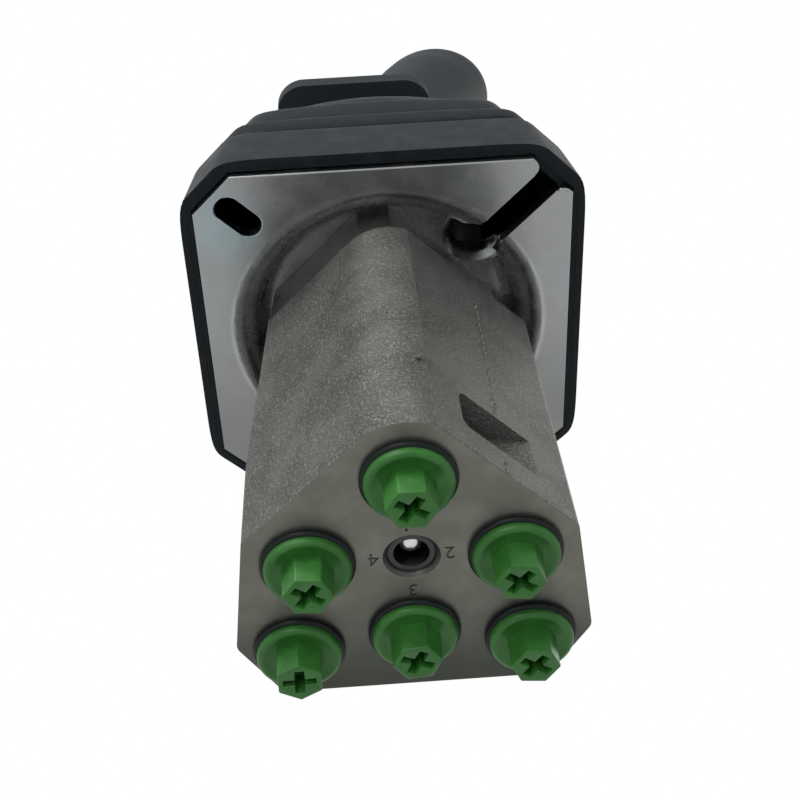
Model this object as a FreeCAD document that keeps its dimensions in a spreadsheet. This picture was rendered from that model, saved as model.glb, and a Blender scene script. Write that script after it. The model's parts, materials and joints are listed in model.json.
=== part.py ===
import FreeCAD, Part
import math
import os
import re
import Sketcher
from FreeCAD import Placement, Rotation, Vector

# Hydraulic pilot joystick valve in neutral, millimetres, +Z up along the valve's axis.
# The origin is the middle of the mounting plate's underside. The port face looks down at
# -face_depth, port 1 lies on the -Y side, and the grip leans towards +X and +Y.

SIZES = {
    # valve body casting
    "face_depth": 84.7,
    "shoulder_depth": 5.7,
    "casting_taper": 1.2,
    "port_circle_r": 22.0,
    "nose_wall": 14.4,
    "right_setback": 0.9,
    "side_front_half": 35.4,
    "side_rear_half": 39.4,
    "rear_shoulder_y": 24.5,
    "rear_half": 30.2,
    "rear_y": 39.5,
    "casting_round": 3.0,
    "neck_inset": 7.0,
    "neck_r": 29.5,
    # core recess in the right front chamfer
    "recess_low": 7.6,
    "recess_rise": 11.6,
    "recess_left": 12.0,
    "recess_right": 10.3,
    "recess_depth": 5.5,
    "recess_ramp": 8.3,
    "recess_round": 2.5,
    # ports and passages
    "port_thread_r": 6.58,
    "port_depth": 13.5,
    "port_chamfer": 0.6,
    "supply_x": 25.64,
    "supply_y": 25.69,
    "drill_r": 2.0,
    "supply_gallery_depth": 58.0,
    "tank_gallery_depth": 36.0,
    "fit_gap": 0.05,
    "run_gap": 0.3,
    # centre plug of the port face
    "sleeve_r": 5.0,
    "sleeve_bore_r": 3.9,
    "sleeve_length": 11.2,
    "sleeve_setback": 1.2,
    "sleeve_chamfer_r": 6.2,
    "ball_r": 3.4,
    # transport plugs
    "flange_r": 9.4,
    "flange_thick": 1.6,
    "flange_rim": 1.4,
    "dish_depth": 0.9,
    "plug_hex": 9.8,
    "hex_length": 10.0,
    "shank_length": 9.0,
    "shank_bore_r": 4.6,
    "cross_length": 7.75,
    "cross_width": 2.0,
    "cross_depth": 5.0,
    "seal_r": 10.2,
    "seal_thick": 1.8,
    # mounting plate
    "plate_half": 46.15,
    "plate_corner": 9.8,
    "plate_thick": 3.0,
    "dish_rise": 9.3,
    "dish_start_r": 40.2,
    "dish_bend_r": 7.5,
    "dish_angle": 75.0,
    "floor_bend_r": 3.0,
    "slot_half": 3.3,
    "slot_length": 12.8,
    "slot_edge": 2.14,
    "keyhole_half": 3.5,
    "keyhole_r": 6.2,
    "keyhole_circle_r": 31.8,
    "mouth_round": 2.6,
    "collar_r": 8.9,
    "collar_wall": 1.1,
    "collar_reach": 33.5,
    "collar_drop": 3.0,
    # guide bushes with their rings
    "bush_r": 6.0,
    "bush_neck_r": 5.4,
    "bush_rise": 4.0,
    "bush_stop_z": 1.0,
    "bush_skirt": 3.0,
    "bush_skirt_r": 4.95,
    "ring_depth": 1.0,
    "ring_height": 1.6,
    # pushers, spring seats, springs and spools
    "stem_r": 3.75,
    "tip_r": 4.5,
    "rest_gap": 0.35,
    "head_r": 4.7,
    "head_length": 3.0,
    "pusher_stroke": 8.26,
    "spool_stroke": 2.24,
    "seat_r": 5.6,
    "seat_thick": 1.6,
    "cup_r": 3.1,
    "cup_bore_r": 2.6,
    "cup_floor": 1.6,
    "cup_hole_r": 1.6,
    "spool_head_r": 2.3,
    "spool_head_length": 2.5,
    "spool_neck_r": 1.3,
    "collar_land_r": 4.1,
    "collar_land_length": 2.0,
    "spool_r": 2.5,
    "metering_groove_r": 1.7,
    "return_spring_r": 5.5,
    "return_wire": 1.1,
    "metering_spring_r": 4.1,
    "metering_wire": 0.7,
    # universal joint
    "pivot_z": 28.0,
    "joint_stud_r": 6.0,
    "joint_stud_length": 16.0,
    "joint_hex": 24.0,
    "joint_hex_height": 5.0,
    "ear_inner": 5.8,
    "ear_thick": 4.0,
    "ear_r": 4.8,
    "cross_half": 4.5,
    "trunnion_r": 2.5,
    "fork_hub_r": 9.5,
    "fork_hub_rise": 11.0,
    "fork_hub_height": 3.0,
    "fork_stud_r": 5.0,
    "fork_stud_height": 20.0,
    # cam disc and its lock nut
    "disc_r": 28.0,
    "disc_rim": 4.0,
    "disc_ring_r": 17.0,
    "disc_hub_r": 11.0,
    "disc_hub_height": 6.0,
    "lock_hex": 17.0,
    "lock_height": 5.0,
    # lever
    "coupling_hex": 19.0,
    "coupling_height": 24.0,
    "rod_r": 6.0,
    "rod_grip": 11.0,
    "rod_lock_height": 6.0,
    "bend_z": 88.0,
    "bend_r": 25.0,
    "lean_angle": 21.5,
    "lean_heading": 36.87,
    "rod_upper": 20.0,
    # hand rest
    "rest_z": 83.0,
    "rest_thick": 6.0,
    "rest_left": 27.0,
    "rest_right": 17.5,
    "rest_front": 29.0,
    "rest_rear": 22.0,
    "rest_round": 8.0,
    "rest_neck_r": 15.0,
    "rest_neck_height": 8.0,
    "rest_socket_r": 11.6,
    # grip shells
    "shell_wall": 2.8,
    "head_z": 160.3,
    "head_radius": 20.0,
    "waist_z": 116.0,
    "waist_x": 16.5,
    "waist_y": 19.5,
    "foot_x": 15.0,
    "foot_y": 18.5,
    # screws of the grip
    "screw_r": 1.5,
    "screw_head_r": 2.8,
    "screw_head_height": 2.0,
    "screw_seat": 7.0,
    "screw_length": 14.0,
    "screw_boss_r": 3.4,
    "screw_boss_short": 7.2,
    "screw_boss_long": 10.9,
    "screw_top_boss": 17.8,
    "screw_offset": 10.8,
    "screw_low_z": 104.0,
    "screw_mid_z": 124.0,
    "screw_top_z": 156.0,
    # boot
    "boot_wall": 1.8,
    "boot_ledge": 1.5,
    "boot_lip_z": 1.8,
    "boot_foot": 3.45,
    "boot_corner": 11.5,
    "skirt_top_z": 20.3,
    "skirt_draw_in": 2.4,
    "fold_depth": 4.6,
    "fold_one_z": 31.5,
    "fold_one_half": 44.2,
    "fold_two_z": 47.5,
    "fold_two_half": 40.2,
    "fold_three_z": 66.0,
    "fold_three_half": 33.5,
    "boot_top_z": 76.0,
}

doc = FreeCAD.newDocument("pilot_joystick_valve")
sheet = doc.addObject("Spreadsheet::Sheet", "Sizes")
for row, (alias, size) in enumerate(SIZES.items(), start=1):
    sheet.set(f"A{row}", alias)
    sheet.set(f"B{row}", str(size))
    sheet.setAlias(f"B{row}", alias)
doc.recompute()

PIECES = []
PORT_SIDES = {"1": (0, -1), "2": (1, 0), "3": (0, 1), "4": (-1, 0)}


def bound(text):
    """Point every size name in an expression at its cell in the sheet."""
    return re.sub(r"[a-z]\w*", lambda word: "Sizes." + word[0] if word[0] in SIZES else word[0], str(text))


def number(text):
    """Present value of an expression."""
    result = sheet.evalExpression(bound(text))
    return float(getattr(result, "Value", result))


# Expressions that several pieces share.
PLATE_TOP = "(dish_rise + plate_thick)"
BORE_R = "(bush_r + fit_gap)"
HEAD_TOP = "(bush_stop_z - run_gap - pusher_stroke)"
SEAT_TOP = f"({HEAD_TOP} - head_length)"
SEAT_LOW = f"({SEAT_TOP} - seat_thick)"
FREE_PLAY = "(pusher_stroke - spool_stroke + run_gap)"
CUP_TOP = f"({SEAT_TOP} - seat_thick / 2)"
SPOOL_TOP = f"({CUP_TOP} - {FREE_PLAY})"
CUP_BORE_LOW = f"({SPOOL_TOP} - spool_head_length - {FREE_PLAY})"
CUP_LOW = f"({CUP_BORE_LOW} - cup_floor)"
LAND_TOP = f"({CUP_LOW} - {FREE_PLAY} - run_gap)"
CHAMBER_LOW = f"({LAND_TOP} - collar_land_length - spool_stroke - 2 * run_gap)"
PORT_TOP = "(-face_depth + port_depth)"
CONTACT_Z = "(pivot_z + tip_r)"
JOINT_TOP = f"({PLATE_TOP} + joint_hex_height)"
FORK_TOP = "(pivot_z + fork_hub_rise + fork_hub_height)"
DISC_TOP = f"({FORK_TOP} + disc_hub_height)"
LOCK_TOP = f"({DISC_TOP} + lock_height)"
COUPLING_TOP = f"({LOCK_TOP} + coupling_height)"
ROD_LOW = f"({COUPLING_TOP} - rod_grip)"
STUD_TOP = f"({FORK_TOP} + fork_stud_height)"
ROD_NUT_TOP = f"({COUPLING_TOP} + rod_lock_height)"
REST_TOP = "(rest_z + rest_thick)"
SLOT_PLACE = "(plate_half * sqrt(2) - plate_corner / sqrt(2) - slot_edge - slot_length / 2)"
BOOT_HALF = "(plate_half + boot_foot)"


def new_body(name, x="0", y="0", z="0"):
    """Body that becomes one sub-part, placed at x, y, z."""
    body = doc.addObject("PartDesign::Body", name)
    body.Label = name
    for axis, place in zip("xyz", (x, y, z)):
        body.setExpression(f"Placement.Base.{axis}", bound(place))
    PIECES.append(body)
    return body


def sketch_on(body, role, height="0", turn=0):
    """Sketch on an origin plane of the body, shifted along the plane's normal.

    An upright plane can be turned about the body's Z axis; its normal turns with it.
    """
    sketch = body.newObject("Sketcher::SketchObject", f"{body.Name}_sketch")
    plane = next(item for item in body.Origin.OriginFeatures if item.Role == role)
    sketch.AttachmentSupport = (plane, [""])
    sketch.MapMode = "FlatFace"
    sketch.AttachmentOffset = Placement(Vector(), Rotation(Vector(0, 1, 0), turn))
    if turn:
        sketch.setExpression("AttachmentOffset.Base.x", bound(f"({height}) * sin({turn})"))
    sketch.setExpression("AttachmentOffset.Base.z", bound(f"({height}) * cos({turn})"))
    return sketch


def pin_point(sketch, geometry, end, place):
    """Hold one point of a sketch at (x, y), each an expression."""
    for axis, text in zip("XY", place):
        size = number(text)
        if abs(size) < 1e-9:
            line = -2 if axis == "X" else -1
            sketch.addConstraint(Sketcher.Constraint("PointOnObject", geometry, end, line))
            continue
        index = sketch.addConstraint(Sketcher.Constraint(f"Distance{axis}", -1, 1, geometry, end, size))
        sketch.setExpression(f"Constraints[{index}]", bound(text))


def arc_between(start, end, radius):
    """Arc of a circle from start to end; a positive radius runs anticlockwise."""
    chord = end - start
    side = Vector(-chord.y, chord.x, 0).normalize()
    rise = math.sqrt(max(radius * radius - chord.Length ** 2 / 4, 0))
    middle = (start + end) / 2 + side * math.copysign(rise, radius)
    first, last = (start, end) if radius > 0 else (end, start)
    angles = [math.atan2(point.y - middle.y, point.x - middle.x) for point in (first, last)]
    if angles[1] < angles[0]:
        angles[1] += 2 * math.pi
    return Part.ArcOfCircle(Part.Circle(middle, Vector(0, 0, 1), abs(radius)), *angles)


def draw(sketch, corners):
    """Closed outline through corners, each (x, y) or (x, y, radius of the arc that leads to it)."""
    points = [Vector(number(corner[0]), number(corner[1]), 0) for corner in corners]
    ends = []
    for index, corner in enumerate(corners):
        start, end = points[index - 1], points[index]
        if len(corner) == 2:
            ends.append((sketch.addGeometry(Part.LineSegment(start, end), False), 1, 2))
            continue
        radius = number(corner[2])
        geometry = sketch.addGeometry(arc_between(start, end, radius), False)
        ends.append((geometry, 1, 2) if radius > 0 else (geometry, 2, 1))
        size = sketch.addConstraint(Sketcher.Constraint("Radius", geometry, abs(radius)))
        sketch.setExpression(f"Constraints[{size}]", bound(f"abs({corner[2]})"))
    for index, corner in enumerate(corners):
        geometry, _, last = ends[index]
        following, first, _ = ends[(index + 1) % len(ends)]
        sketch.addConstraint(Sketcher.Constraint("Coincident", geometry, last, following, first))
        pin_point(sketch, geometry, last, corner[:2])


def circle(sketch, radius, x="0", y="0"):
    """Full circle of a given radius about (x, y)."""
    middle = Vector(number(x), number(y), 0)
    geometry = sketch.addGeometry(Part.Circle(middle, Vector(0, 0, 1), number(radius)), False)
    index = sketch.addConstraint(Sketcher.Constraint("Radius", geometry, number(radius)))
    sketch.setExpression(f"Constraints[{index}]", bound(radius))
    pin_point(sketch, geometry, 3, (x, y))


def polygon(across, count=6, turn=0):
    """Corners of a regular polygon from its width across flats; turn 0 puts a corner on X."""
    reach = f"({across}) / 2 / cos({180 / count})"
    corners = [(step * 360 / count + turn) for step in range(count)]
    return [(f"{reach} * cos({angle})", f"{reach} * sin({angle})") for angle in corners]


def box_outline(half_x, half_y):
    """Corners of a rectangle about the origin."""
    return [(f"{x}({half_x})", f"{y}({half_y})") for x, y in (("", "-"), ("", ""), ("-", ""), ("-", "-"))]


def extrude(body, kind, sketch, length, side="One side", back=False, taper="0"):
    """Pad or Pocket of a sketch. A Pocket cuts against the sketch's normal unless back is set."""
    feature = body.newObject(f"PartDesign::{kind}", f"{body.Name}_{kind.lower()}")
    feature.Profile = sketch
    feature.SideType = side
    feature.Reversed = back
    feature.setExpression("Length", bound(length))
    if taper != "0":
        feature.setExpression("TaperAngle", bound(taper))
    doc.recompute()
    return feature


def pad(body, sketch, length, **options):
    return extrude(body, "Pad", sketch, length, **options)


def pocket(body, sketch, length, **options):
    return extrude(body, "Pocket", sketch, length, **options)


def turned(body, corners, kind="Revolution", turn=0):
    """Solid of revolution about the body's Z axis from a profile of (radius, height) corners."""
    sketch = sketch_on(body, "XZ_Plane", turn=turn)
    draw(sketch, corners)
    feature = body.newObject(f"PartDesign::{kind}", f"{body.Name}_{kind.lower()}")
    feature.Profile = sketch
    feature.ReferenceAxis = (sketch, ["V_Axis"])
    feature.Angle = 360
    doc.recompute()
    return feature


def around(body, features, count):
    """Copies of features spaced evenly about the body's Z axis."""
    pattern = body.newObject("PartDesign::PolarPattern", f"{body.Name}_pattern")
    pattern.Originals = features
    axis = next(item for item in body.Origin.OriginFeatures if item.Role == "Z_Axis")
    pattern.Axis = (axis, [""])
    pattern.Angle = 360
    pattern.Occurrences = count
    body.Tip = pattern
    doc.recompute()
    return pattern


def dress(body, kind, size, wanted):
    """Fillet or Chamfer on the edges of the body's tip that pass the wanted test."""
    base = body.Tip
    names = [f"Edge{index}" for index, edge in enumerate(base.Shape.Edges, start=1) if wanted(edge)]
    feature = body.newObject(f"PartDesign::{kind}", f"{body.Name}_{kind.lower()}")
    feature.Base = (base, names)
    feature.setExpression("Radius" if kind == "Fillet" else "Size", bound(size))
    doc.recompute()
    return feature


def level(edge, height):
    """True for an edge that lies flat at a height."""
    box = edge.BoundBox
    return abs(box.ZMin - height) < 1e-4 and abs(box.ZMax - height) < 1e-4


def casting_outline(inset="0"):
    """Front of the body's section: a nose round port 1 with a 45 degree chamfer on each side.

    Gives the left tangent point, the arc to the right chamfer, and how far each chamfer lies
    from the valve's axis.
    """
    nose = f"(nose_wall - {inset})"
    reach = f"({nose} - right_setback)"
    chord = f"sqrt({nose}^2 - {reach}^2)"
    left_point = (f"-{nose} / sqrt(2)", f"-port_circle_r - {nose} / sqrt(2)")
    right_point = (f"({reach} - {chord}) / sqrt(2)", f"-port_circle_r - ({reach} + {chord}) / sqrt(2)", nose)
    left_distance = f"(port_circle_r / sqrt(2) + {nose})"
    right_distance = f"({left_distance} - right_setback)"
    return left_point, right_point, left_distance, right_distance


def valve_body():
    """Iron casting with its port face, control bores, galleries and core recess."""
    body = new_body("valve_body")
    left_point, right_point, left_distance, right_distance = casting_outline()
    lower = sketch_on(body, "XY_Plane", "-face_depth")
    draw(lower, [
        left_point,
        right_point,
        ("side_front_half", f"side_front_half - {right_distance} * sqrt(2)"),
        ("side_rear_half", "rear_shoulder_y"),
        ("rear_half", "rear_y"),
        ("-rear_half", "rear_y"),
        ("-side_rear_half", "rear_shoulder_y"),
        ("-side_front_half", f"side_front_half - {left_distance} * sqrt(2)"),
    ])
    pad(body, lower, "face_depth - shoulder_depth", taper="-casting_taper")
    corner_x = number("rear_half - casting_round")
    half_height = number("face_depth / 2")
    shoulder = -number("shoulder_depth")
    dress(body, "Fillet", "casting_round", lambda edge: edge.BoundBox.ZLength > half_height
          and abs(edge.CenterOfMass.x) > corner_x)
    dress(body, "Fillet", "casting_round", lambda edge: level(edge, shoulder))

    left_point, right_point, left_distance, right_distance = casting_outline("neck_inset")
    left_half = f"sqrt(neck_r^2 - {left_distance}^2)"
    right_half = f"sqrt(neck_r^2 - {right_distance}^2)"
    neck = sketch_on(body, "XY_Plane", "-shoulder_depth - casting_round")
    draw(neck, [
        left_point,
        right_point,
        (f"({right_distance} + {right_half}) / sqrt(2)", f"({right_half} - {right_distance}) / sqrt(2)"),
        ("0", "neck_r", "neck_r"),
        (
            f"-({left_distance} + {left_half}) / sqrt(2)",
            f"({left_half} - {left_distance}) / sqrt(2)",
            "neck_r",
        ),
    ])
    pad(body, neck, "shoulder_depth + casting_round + dish_rise")

    # The recess is deep at its left end and runs out in a ramp at its right end.
    surface = casting_outline()[3]
    slope = "(recess_depth / recess_ramp)"
    recess = sketch_on(body, "XY_Plane", "-face_depth + recess_low")
    draw(recess, [
        diagonal(f"{surface} + {slope} * casting_round", "-recess_left"),
        diagonal(f"{surface} - recess_depth", "-recess_left"),
        diagonal(f"{surface} - recess_depth", "recess_right - recess_ramp"),
        diagonal(f"{surface} + {slope} * casting_round", "recess_right + casting_round"),
    ])
    pocket(body, recess, "recess_rise", back=True)
    end_x, end_y = (number(text) for text in diagonal(f"{surface} - recess_depth / 2", "-recess_left"))
    dress(body, "Fillet", "recess_round", lambda edge: edge.BoundBox.ZLength < 0.5
          and edge.Length < number("2 * recess_depth")
          and math.dist(edge.CenterOfMass[:2], (end_x, end_y)) < 0.5)

    ports = sketch_on(body, "XY_Plane", "-face_depth")
    circle(ports, "port_thread_r", x="port_circle_r")
    spool_bores = sketch_on(body, "XY_Plane", PORT_TOP)
    circle(spool_bores, "spool_r + fit_gap", x="port_circle_r")
    chambers = sketch_on(body, "XY_Plane", "dish_rise")
    circle(chambers, BORE_R, x="port_circle_r")
    bores = [
        pocket(body, ports, "port_depth", back=True),
        pocket(body, spool_bores, f"{CHAMBER_LOW} - {PORT_TOP}", back=True),
        pocket(body, chambers, f"dish_rise - {CHAMBER_LOW}"),
    ]
    around(body, bores, 4)

    supplies = sketch_on(body, "XY_Plane", "-face_depth")
    circle(supplies, "port_thread_r", x="supply_x", y="supply_y")
    circle(supplies, "port_thread_r", x="-supply_x", y="supply_y")
    pocket(body, supplies, "port_depth", back=True)
    for side, depth in (("-", "supply_gallery_depth"), ("", "tank_gallery_depth")):
        riser = sketch_on(body, "XY_Plane", PORT_TOP)
        circle(riser, "1.6 * drill_r", x=f"{side}supply_x", y="supply_y")
        pocket(body, riser, f"-{depth} - {PORT_TOP} + drill_r", back=True)

    centre = sketch_on(body, "XY_Plane", "-face_depth")
    circle(centre, "sleeve_r + fit_gap")
    pocket(body, centre, "sleeve_length", back=True)
    centre_drill = sketch_on(body, "XY_Plane", "-face_depth")
    circle(centre_drill, "1.2 * drill_r")
    pocket(body, centre_drill, "face_depth - tank_gallery_depth + drill_r", back=True)
    stud_hole = sketch_on(body, "XY_Plane", "dish_rise")
    circle(stud_hole, "joint_stud_r + fit_gap")
    pocket(body, stud_hole, "joint_stud_length + 2 * run_gap")

    # The tank gallery joins the four spring chambers and the tank port at the valve's axis.
    for turn in (0, 90):
        tank = sketch_on(body, "XZ_Plane", turn=turn)
        circle(tank, "drill_r", y="-tank_gallery_depth")
        pocket(body, tank, "2 * port_circle_r", side="Symmetric")
    tank_link = sketch_on(body, "XZ_Plane", turn=-45)
    circle(tank_link, "drill_r", y="-tank_gallery_depth")
    pocket(body, tank_link, "sqrt(supply_x^2 + supply_y^2)", back=False)

    # The supply gallery is a square of passages through the four spool bores.
    side_distance = "port_circle_r / sqrt(2)"
    for turn in (45, -45):
        for sign in ("", "-"):
            supply = sketch_on(body, "XZ_Plane", turn=turn)
            circle(supply, "drill_r", x=f"{sign}{side_distance}", y="-supply_gallery_depth")
            pocket(body, supply, "port_circle_r * sqrt(2)", side="Symmetric")
    supply_link = sketch_on(body, "XZ_Plane", f"-{side_distance}", turn=45)
    circle(supply_link, "drill_r", y="-supply_gallery_depth")
    pocket(body, supply_link, f"sqrt(supply_x^2 + supply_y^2) - {side_distance}", back=True)

    face = -number("face_depth")
    port_r = number("port_thread_r")
    dress(body, "Chamfer", "port_chamfer", lambda edge: level(edge, face)
          and abs(edge.BoundBox.XLength / 2 - port_r) < 0.01)
    sleeve_r = number("sleeve_r + fit_gap")
    dress(body, "Chamfer", "sleeve_chamfer_r - sleeve_r - fit_gap", lambda edge: level(edge, face)
          and abs(edge.BoundBox.XLength / 2 - sleeve_r) < 0.01)


def centre_plug():
    """Expander sleeve and ball that close the centre hole of the port face."""
    sleeve = new_body("expander_sleeve", z="-face_depth")
    floor = "(sleeve_length - sleeve_setback)"
    turned(sleeve, [
        ("sleeve_bore_r", "sleeve_setback"),
        ("sleeve_r", "sleeve_setback"),
        ("sleeve_r", "sleeve_length"),
        ("1.2 * drill_r", "sleeve_length"),
        ("1.2 * drill_r", floor),
        ("sleeve_bore_r", floor),
    ])
    ball = new_body("sealing_ball", z="-face_depth + sleeve_length - sleeve_setback - ball_r")
    turned(ball, [("0", "-ball_r"), ("ball_r", "0", "ball_r"), ("0", "ball_r", "ball_r")])


def transport_plug(name, x, y, turn):
    """Green plug with a dished flange, a hexagon and a cross recess; turn is the hexagon's."""
    plug = new_body(name, x=x, y=y, z="-face_depth")
    rim_top = "(-seal_thick - flange_thick)"
    root = "(plug_hex / 2 / cos(30))"
    turned(plug, [
        ("0", "-seal_thick - flange_thick + dish_depth"),
        (root, "-seal_thick - flange_thick + dish_depth"),
        ("flange_r - 2 * flange_rim", rim_top),
        ("flange_r - flange_rim", rim_top),
        ("flange_r", f"{rim_top} + flange_rim", "flange_rim"),
        ("flange_r", "-seal_thick"),
        ("port_thread_r - fit_gap", "-seal_thick"),
        ("port_thread_r - fit_gap", "shank_length"),
        ("shank_bore_r", "shank_length"),
        ("shank_bore_r", "shank_length / 3"),
        ("0", "shank_length / 3"),
    ])
    hexagon = sketch_on(plug, "XY_Plane", "-hex_length")
    draw(hexagon, polygon("plug_hex", turn=turn))
    pad(plug, hexagon, "hex_length - seal_thick")
    tip = -number("hex_length")
    dress(plug, "Chamfer", "0.4", lambda edge: level(edge, tip))
    for step in (0, 90):
        bar = sketch_on(plug, "XY_Plane", "-hex_length")
        along, across = "(cross_length / 2)", "(cross_width / 2)"
        spin = turn + step + 30
        corners = []
        for ahead, beside in (("", "-"), ("", ""), ("-", ""), ("-", "-")):
            length, width = f"{ahead}{along}", f"{beside}{across}"
            corners.append((f"{length} * cos({spin}) - {width} * sin({spin})",
                            f"{length} * sin({spin}) + {width} * cos({spin})"))
        draw(bar, corners)
        pocket(plug, bar, "cross_depth", back=True)


def rings(name, places, inner, outer, height):
    """Group of flat rings, one at each place (x, y, lowest z)."""
    cut_rings = []
    for index, (x, y, z) in enumerate(places):
        disc = doc.addObject("Part::Cylinder", f"{name}_disc_{index}")
        hole = doc.addObject("Part::Cylinder", f"{name}_hole_{index}")
        for cylinder, radius in ((disc, outer), (hole, inner)):
            cylinder.setExpression("Radius", bound(radius))
            cylinder.setExpression("Height", bound(height))
            cylinder.setExpression("Placement.Base.x", bound(x))
            cylinder.setExpression("Placement.Base.y", bound(y))
            cylinder.setExpression("Placement.Base.z", bound(z))
        ring = doc.addObject("Part::Cut", f"{name}_{index}")
        ring.Base, ring.Tool = disc, hole
        cut_rings.append(ring)
    group = doc.addObject("Part::Compound", name)
    group.Label = name
    group.Links = cut_rings
    doc.recompute()
    PIECES.append(group)


def diagonal(along, across):
    """Point on the (1, -1) diagonal, along from the middle and across it."""
    return (f"(({along}) + ({across})) / sqrt(2)", f"(({across}) - ({along})) / sqrt(2)")


def mounting_plate():
    """Pressed steel plate: flat rim, dish for the body's neck, two slots and a cable keyhole."""
    plate = new_body("mounting_plate")
    rim = sketch_on(plate, "XY_Plane")
    draw(rim, octagon("plate_half", "plate_corner"))
    circle(rim, "dish_start_r")
    pad(plate, rim, "plate_thick")

    inner_bend = "(dish_bend_r - plate_thick)"
    outer_floor = "(floor_bend_r + plate_thick)"
    drop = "(1 - cos(dish_angle))"
    wall_run = f"(dish_rise - (dish_bend_r + floor_bend_r) * {drop}) / tan(dish_angle)"
    floor_r = f"(dish_start_r - (dish_bend_r + floor_bend_r) * sin(dish_angle) - {wall_run})"
    turned(plate, [
        ("0", "dish_rise"),
        (floor_r, "dish_rise"),
        (
            f"{floor_r} + floor_bend_r * sin(dish_angle)",
            f"dish_rise - floor_bend_r * {drop}",
            "-floor_bend_r",
        ),
        ("dish_start_r - dish_bend_r * sin(dish_angle)", f"dish_bend_r * {drop}"),
        ("dish_start_r", "0", "dish_bend_r"),
        ("dish_start_r", "plate_thick"),
        (
            f"dish_start_r - {inner_bend} * sin(dish_angle)",
            f"dish_bend_r - {inner_bend} * cos(dish_angle)",
            f"-{inner_bend}",
        ),
        (
            f"{floor_r} + {outer_floor} * sin(dish_angle)",
            f"dish_rise - floor_bend_r + {outer_floor} * cos(dish_angle)",
        ),
        (floor_r, PLATE_TOP, outer_floor),
        ("0", PLATE_TOP),
    ])

    keyhole_place = diagonal("keyhole_circle_r", "0")
    # The collar runs round the inner side of the keyhole and ends in the wall of the dish.
    end_along = "((keyhole_circle_r^2 + collar_reach^2 - collar_r^2) / 2 / keyhole_circle_r)"
    end_across = f"sqrt(collar_reach^2 - {end_along}^2)"
    collar = sketch_on(plate, "XY_Plane", "dish_rise - collar_drop")
    draw(collar, [
        diagonal(end_along, f"-{end_across}") + ("collar_r",),
        diagonal(end_along, end_across) + ("collar_reach",),
    ])
    pad(plate, collar, "collar_drop + plate_thick / 2")
    funnel = sketch_on(plate, "XY_Plane", "dish_rise - collar_drop")
    circle(funnel, "collar_r - collar_wall", *keyhole_place)
    pocket(plate, funnel, "collar_drop", back=True,
           taper="-atan((collar_r - collar_wall - keyhole_r) / collar_drop)")

    holes = sketch_on(plate, "XY_Plane", PLATE_TOP)
    circle(holes, "joint_stud_r + fit_gap")
    for x, y in PORT_SIDES.values():
        circle(holes, "bush_neck_r + 2 * fit_gap", x=f"{x} * port_circle_r", y=f"{y} * port_circle_r")
    circle(holes, "keyhole_r", *keyhole_place)
    pocket(plate, holes, "dish_rise + plate_thick")

    channel = sketch_on(plate, "XY_Plane", PLATE_TOP)
    reach = "1.6 * plate_half"
    draw(channel, [
        diagonal("keyhole_circle_r", "-keyhole_half"),
        diagonal(reach, "-keyhole_half"),
        diagonal(reach, "keyhole_half"),
        diagonal("keyhole_circle_r", "keyhole_half"),
    ])
    pocket(plate, channel, "dish_rise + plate_thick")
    mouth = number("plate_half * sqrt(2) - plate_corner / sqrt(2)")
    dress(plate, "Fillet", "mouth_round", lambda edge: edge.Length > 0.5
          and edge.BoundBox.XLength < 0.01 and edge.BoundBox.YLength < 0.01
          and abs((edge.CenterOfMass.x - edge.CenterOfMass.y) / math.sqrt(2) - mouth) < 0.1
          and abs(edge.CenterOfMass.x + edge.CenterOfMass.y) < number("2 * keyhole_half"))

    straight = "(slot_length / 2 - slot_half)"
    for way in ("", "-"):
        slot = sketch_on(plate, "XY_Plane", "plate_thick")
        inner, outer = f"({SLOT_PLACE} - {straight})", f"({SLOT_PLACE} + {straight})"
        ends = [(inner, "-slot_half"), (outer, "-slot_half"), (outer, "slot_half"), (inner, "slot_half")]
        corners = [(f"{way}(({along}) - ({across})) / sqrt(2)", f"{way}(({along}) + ({across})) / sqrt(2)")
                   for along, across in ends]
        tips = [(f"{way}({along}) / sqrt(2)", f"{way}({along}) / sqrt(2)", "slot_half")
                for along in (f"({inner} - slot_half)", f"({outer} + slot_half)")]
        draw(slot, [
            corners[0], corners[1], tips[1], corners[2] + ("slot_half",),
            corners[3], tips[0], corners[0] + ("slot_half",),
        ][1:])
        pocket(plate, slot, "plate_thick")


def guide_bush(number_text, x, y):
    """Bush that guides a pusher, held down by the plate."""
    bush = new_body(f"guide_bush_{number_text}", x=f"{x} * port_circle_r", y=f"{y} * port_circle_r")
    ring_low = "(dish_rise - 3 * ring_height)"
    top = f"({PLATE_TOP} + bush_rise)"
    turned(bush, [
        ("bush_skirt_r", "bush_stop_z - bush_skirt"),
        ("bush_r", "bush_stop_z - bush_skirt"),
        ("bush_r", ring_low),
        ("bush_r - ring_depth", ring_low),
        ("bush_r - ring_depth", f"{ring_low} + ring_height"),
        ("bush_r", f"{ring_low} + ring_height"),
        ("bush_r", "dish_rise"),
        ("bush_neck_r", "dish_rise"),
        ("bush_neck_r", top),
        ("stem_r + fit_gap + ring_depth", top),
        ("stem_r + fit_gap + ring_depth", f"{top} - ring_height"),
        ("stem_r + fit_gap", f"{top} - ring_height"),
        ("stem_r + fit_gap", "bush_stop_z"),
        ("bush_skirt_r", "bush_stop_z"),
    ])


def pusher(number_text, x, y):
    """Pusher with a domed tip that the cam disc presses."""
    body = new_body(f"pusher_{number_text}", x=f"{x} * port_circle_r", y=f"{y} * port_circle_r")
    tip = f"({CONTACT_Z} - rest_gap)"
    turned(body, [
        ("0", SEAT_TOP),
        ("head_r", SEAT_TOP),
        ("head_r", HEAD_TOP),
        ("stem_r", HEAD_TOP),
        ("stem_r", f"{tip} - tip_r + sqrt(tip_r^2 - stem_r^2)"),
        ("0", tip, "tip_r"),
    ])


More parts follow.
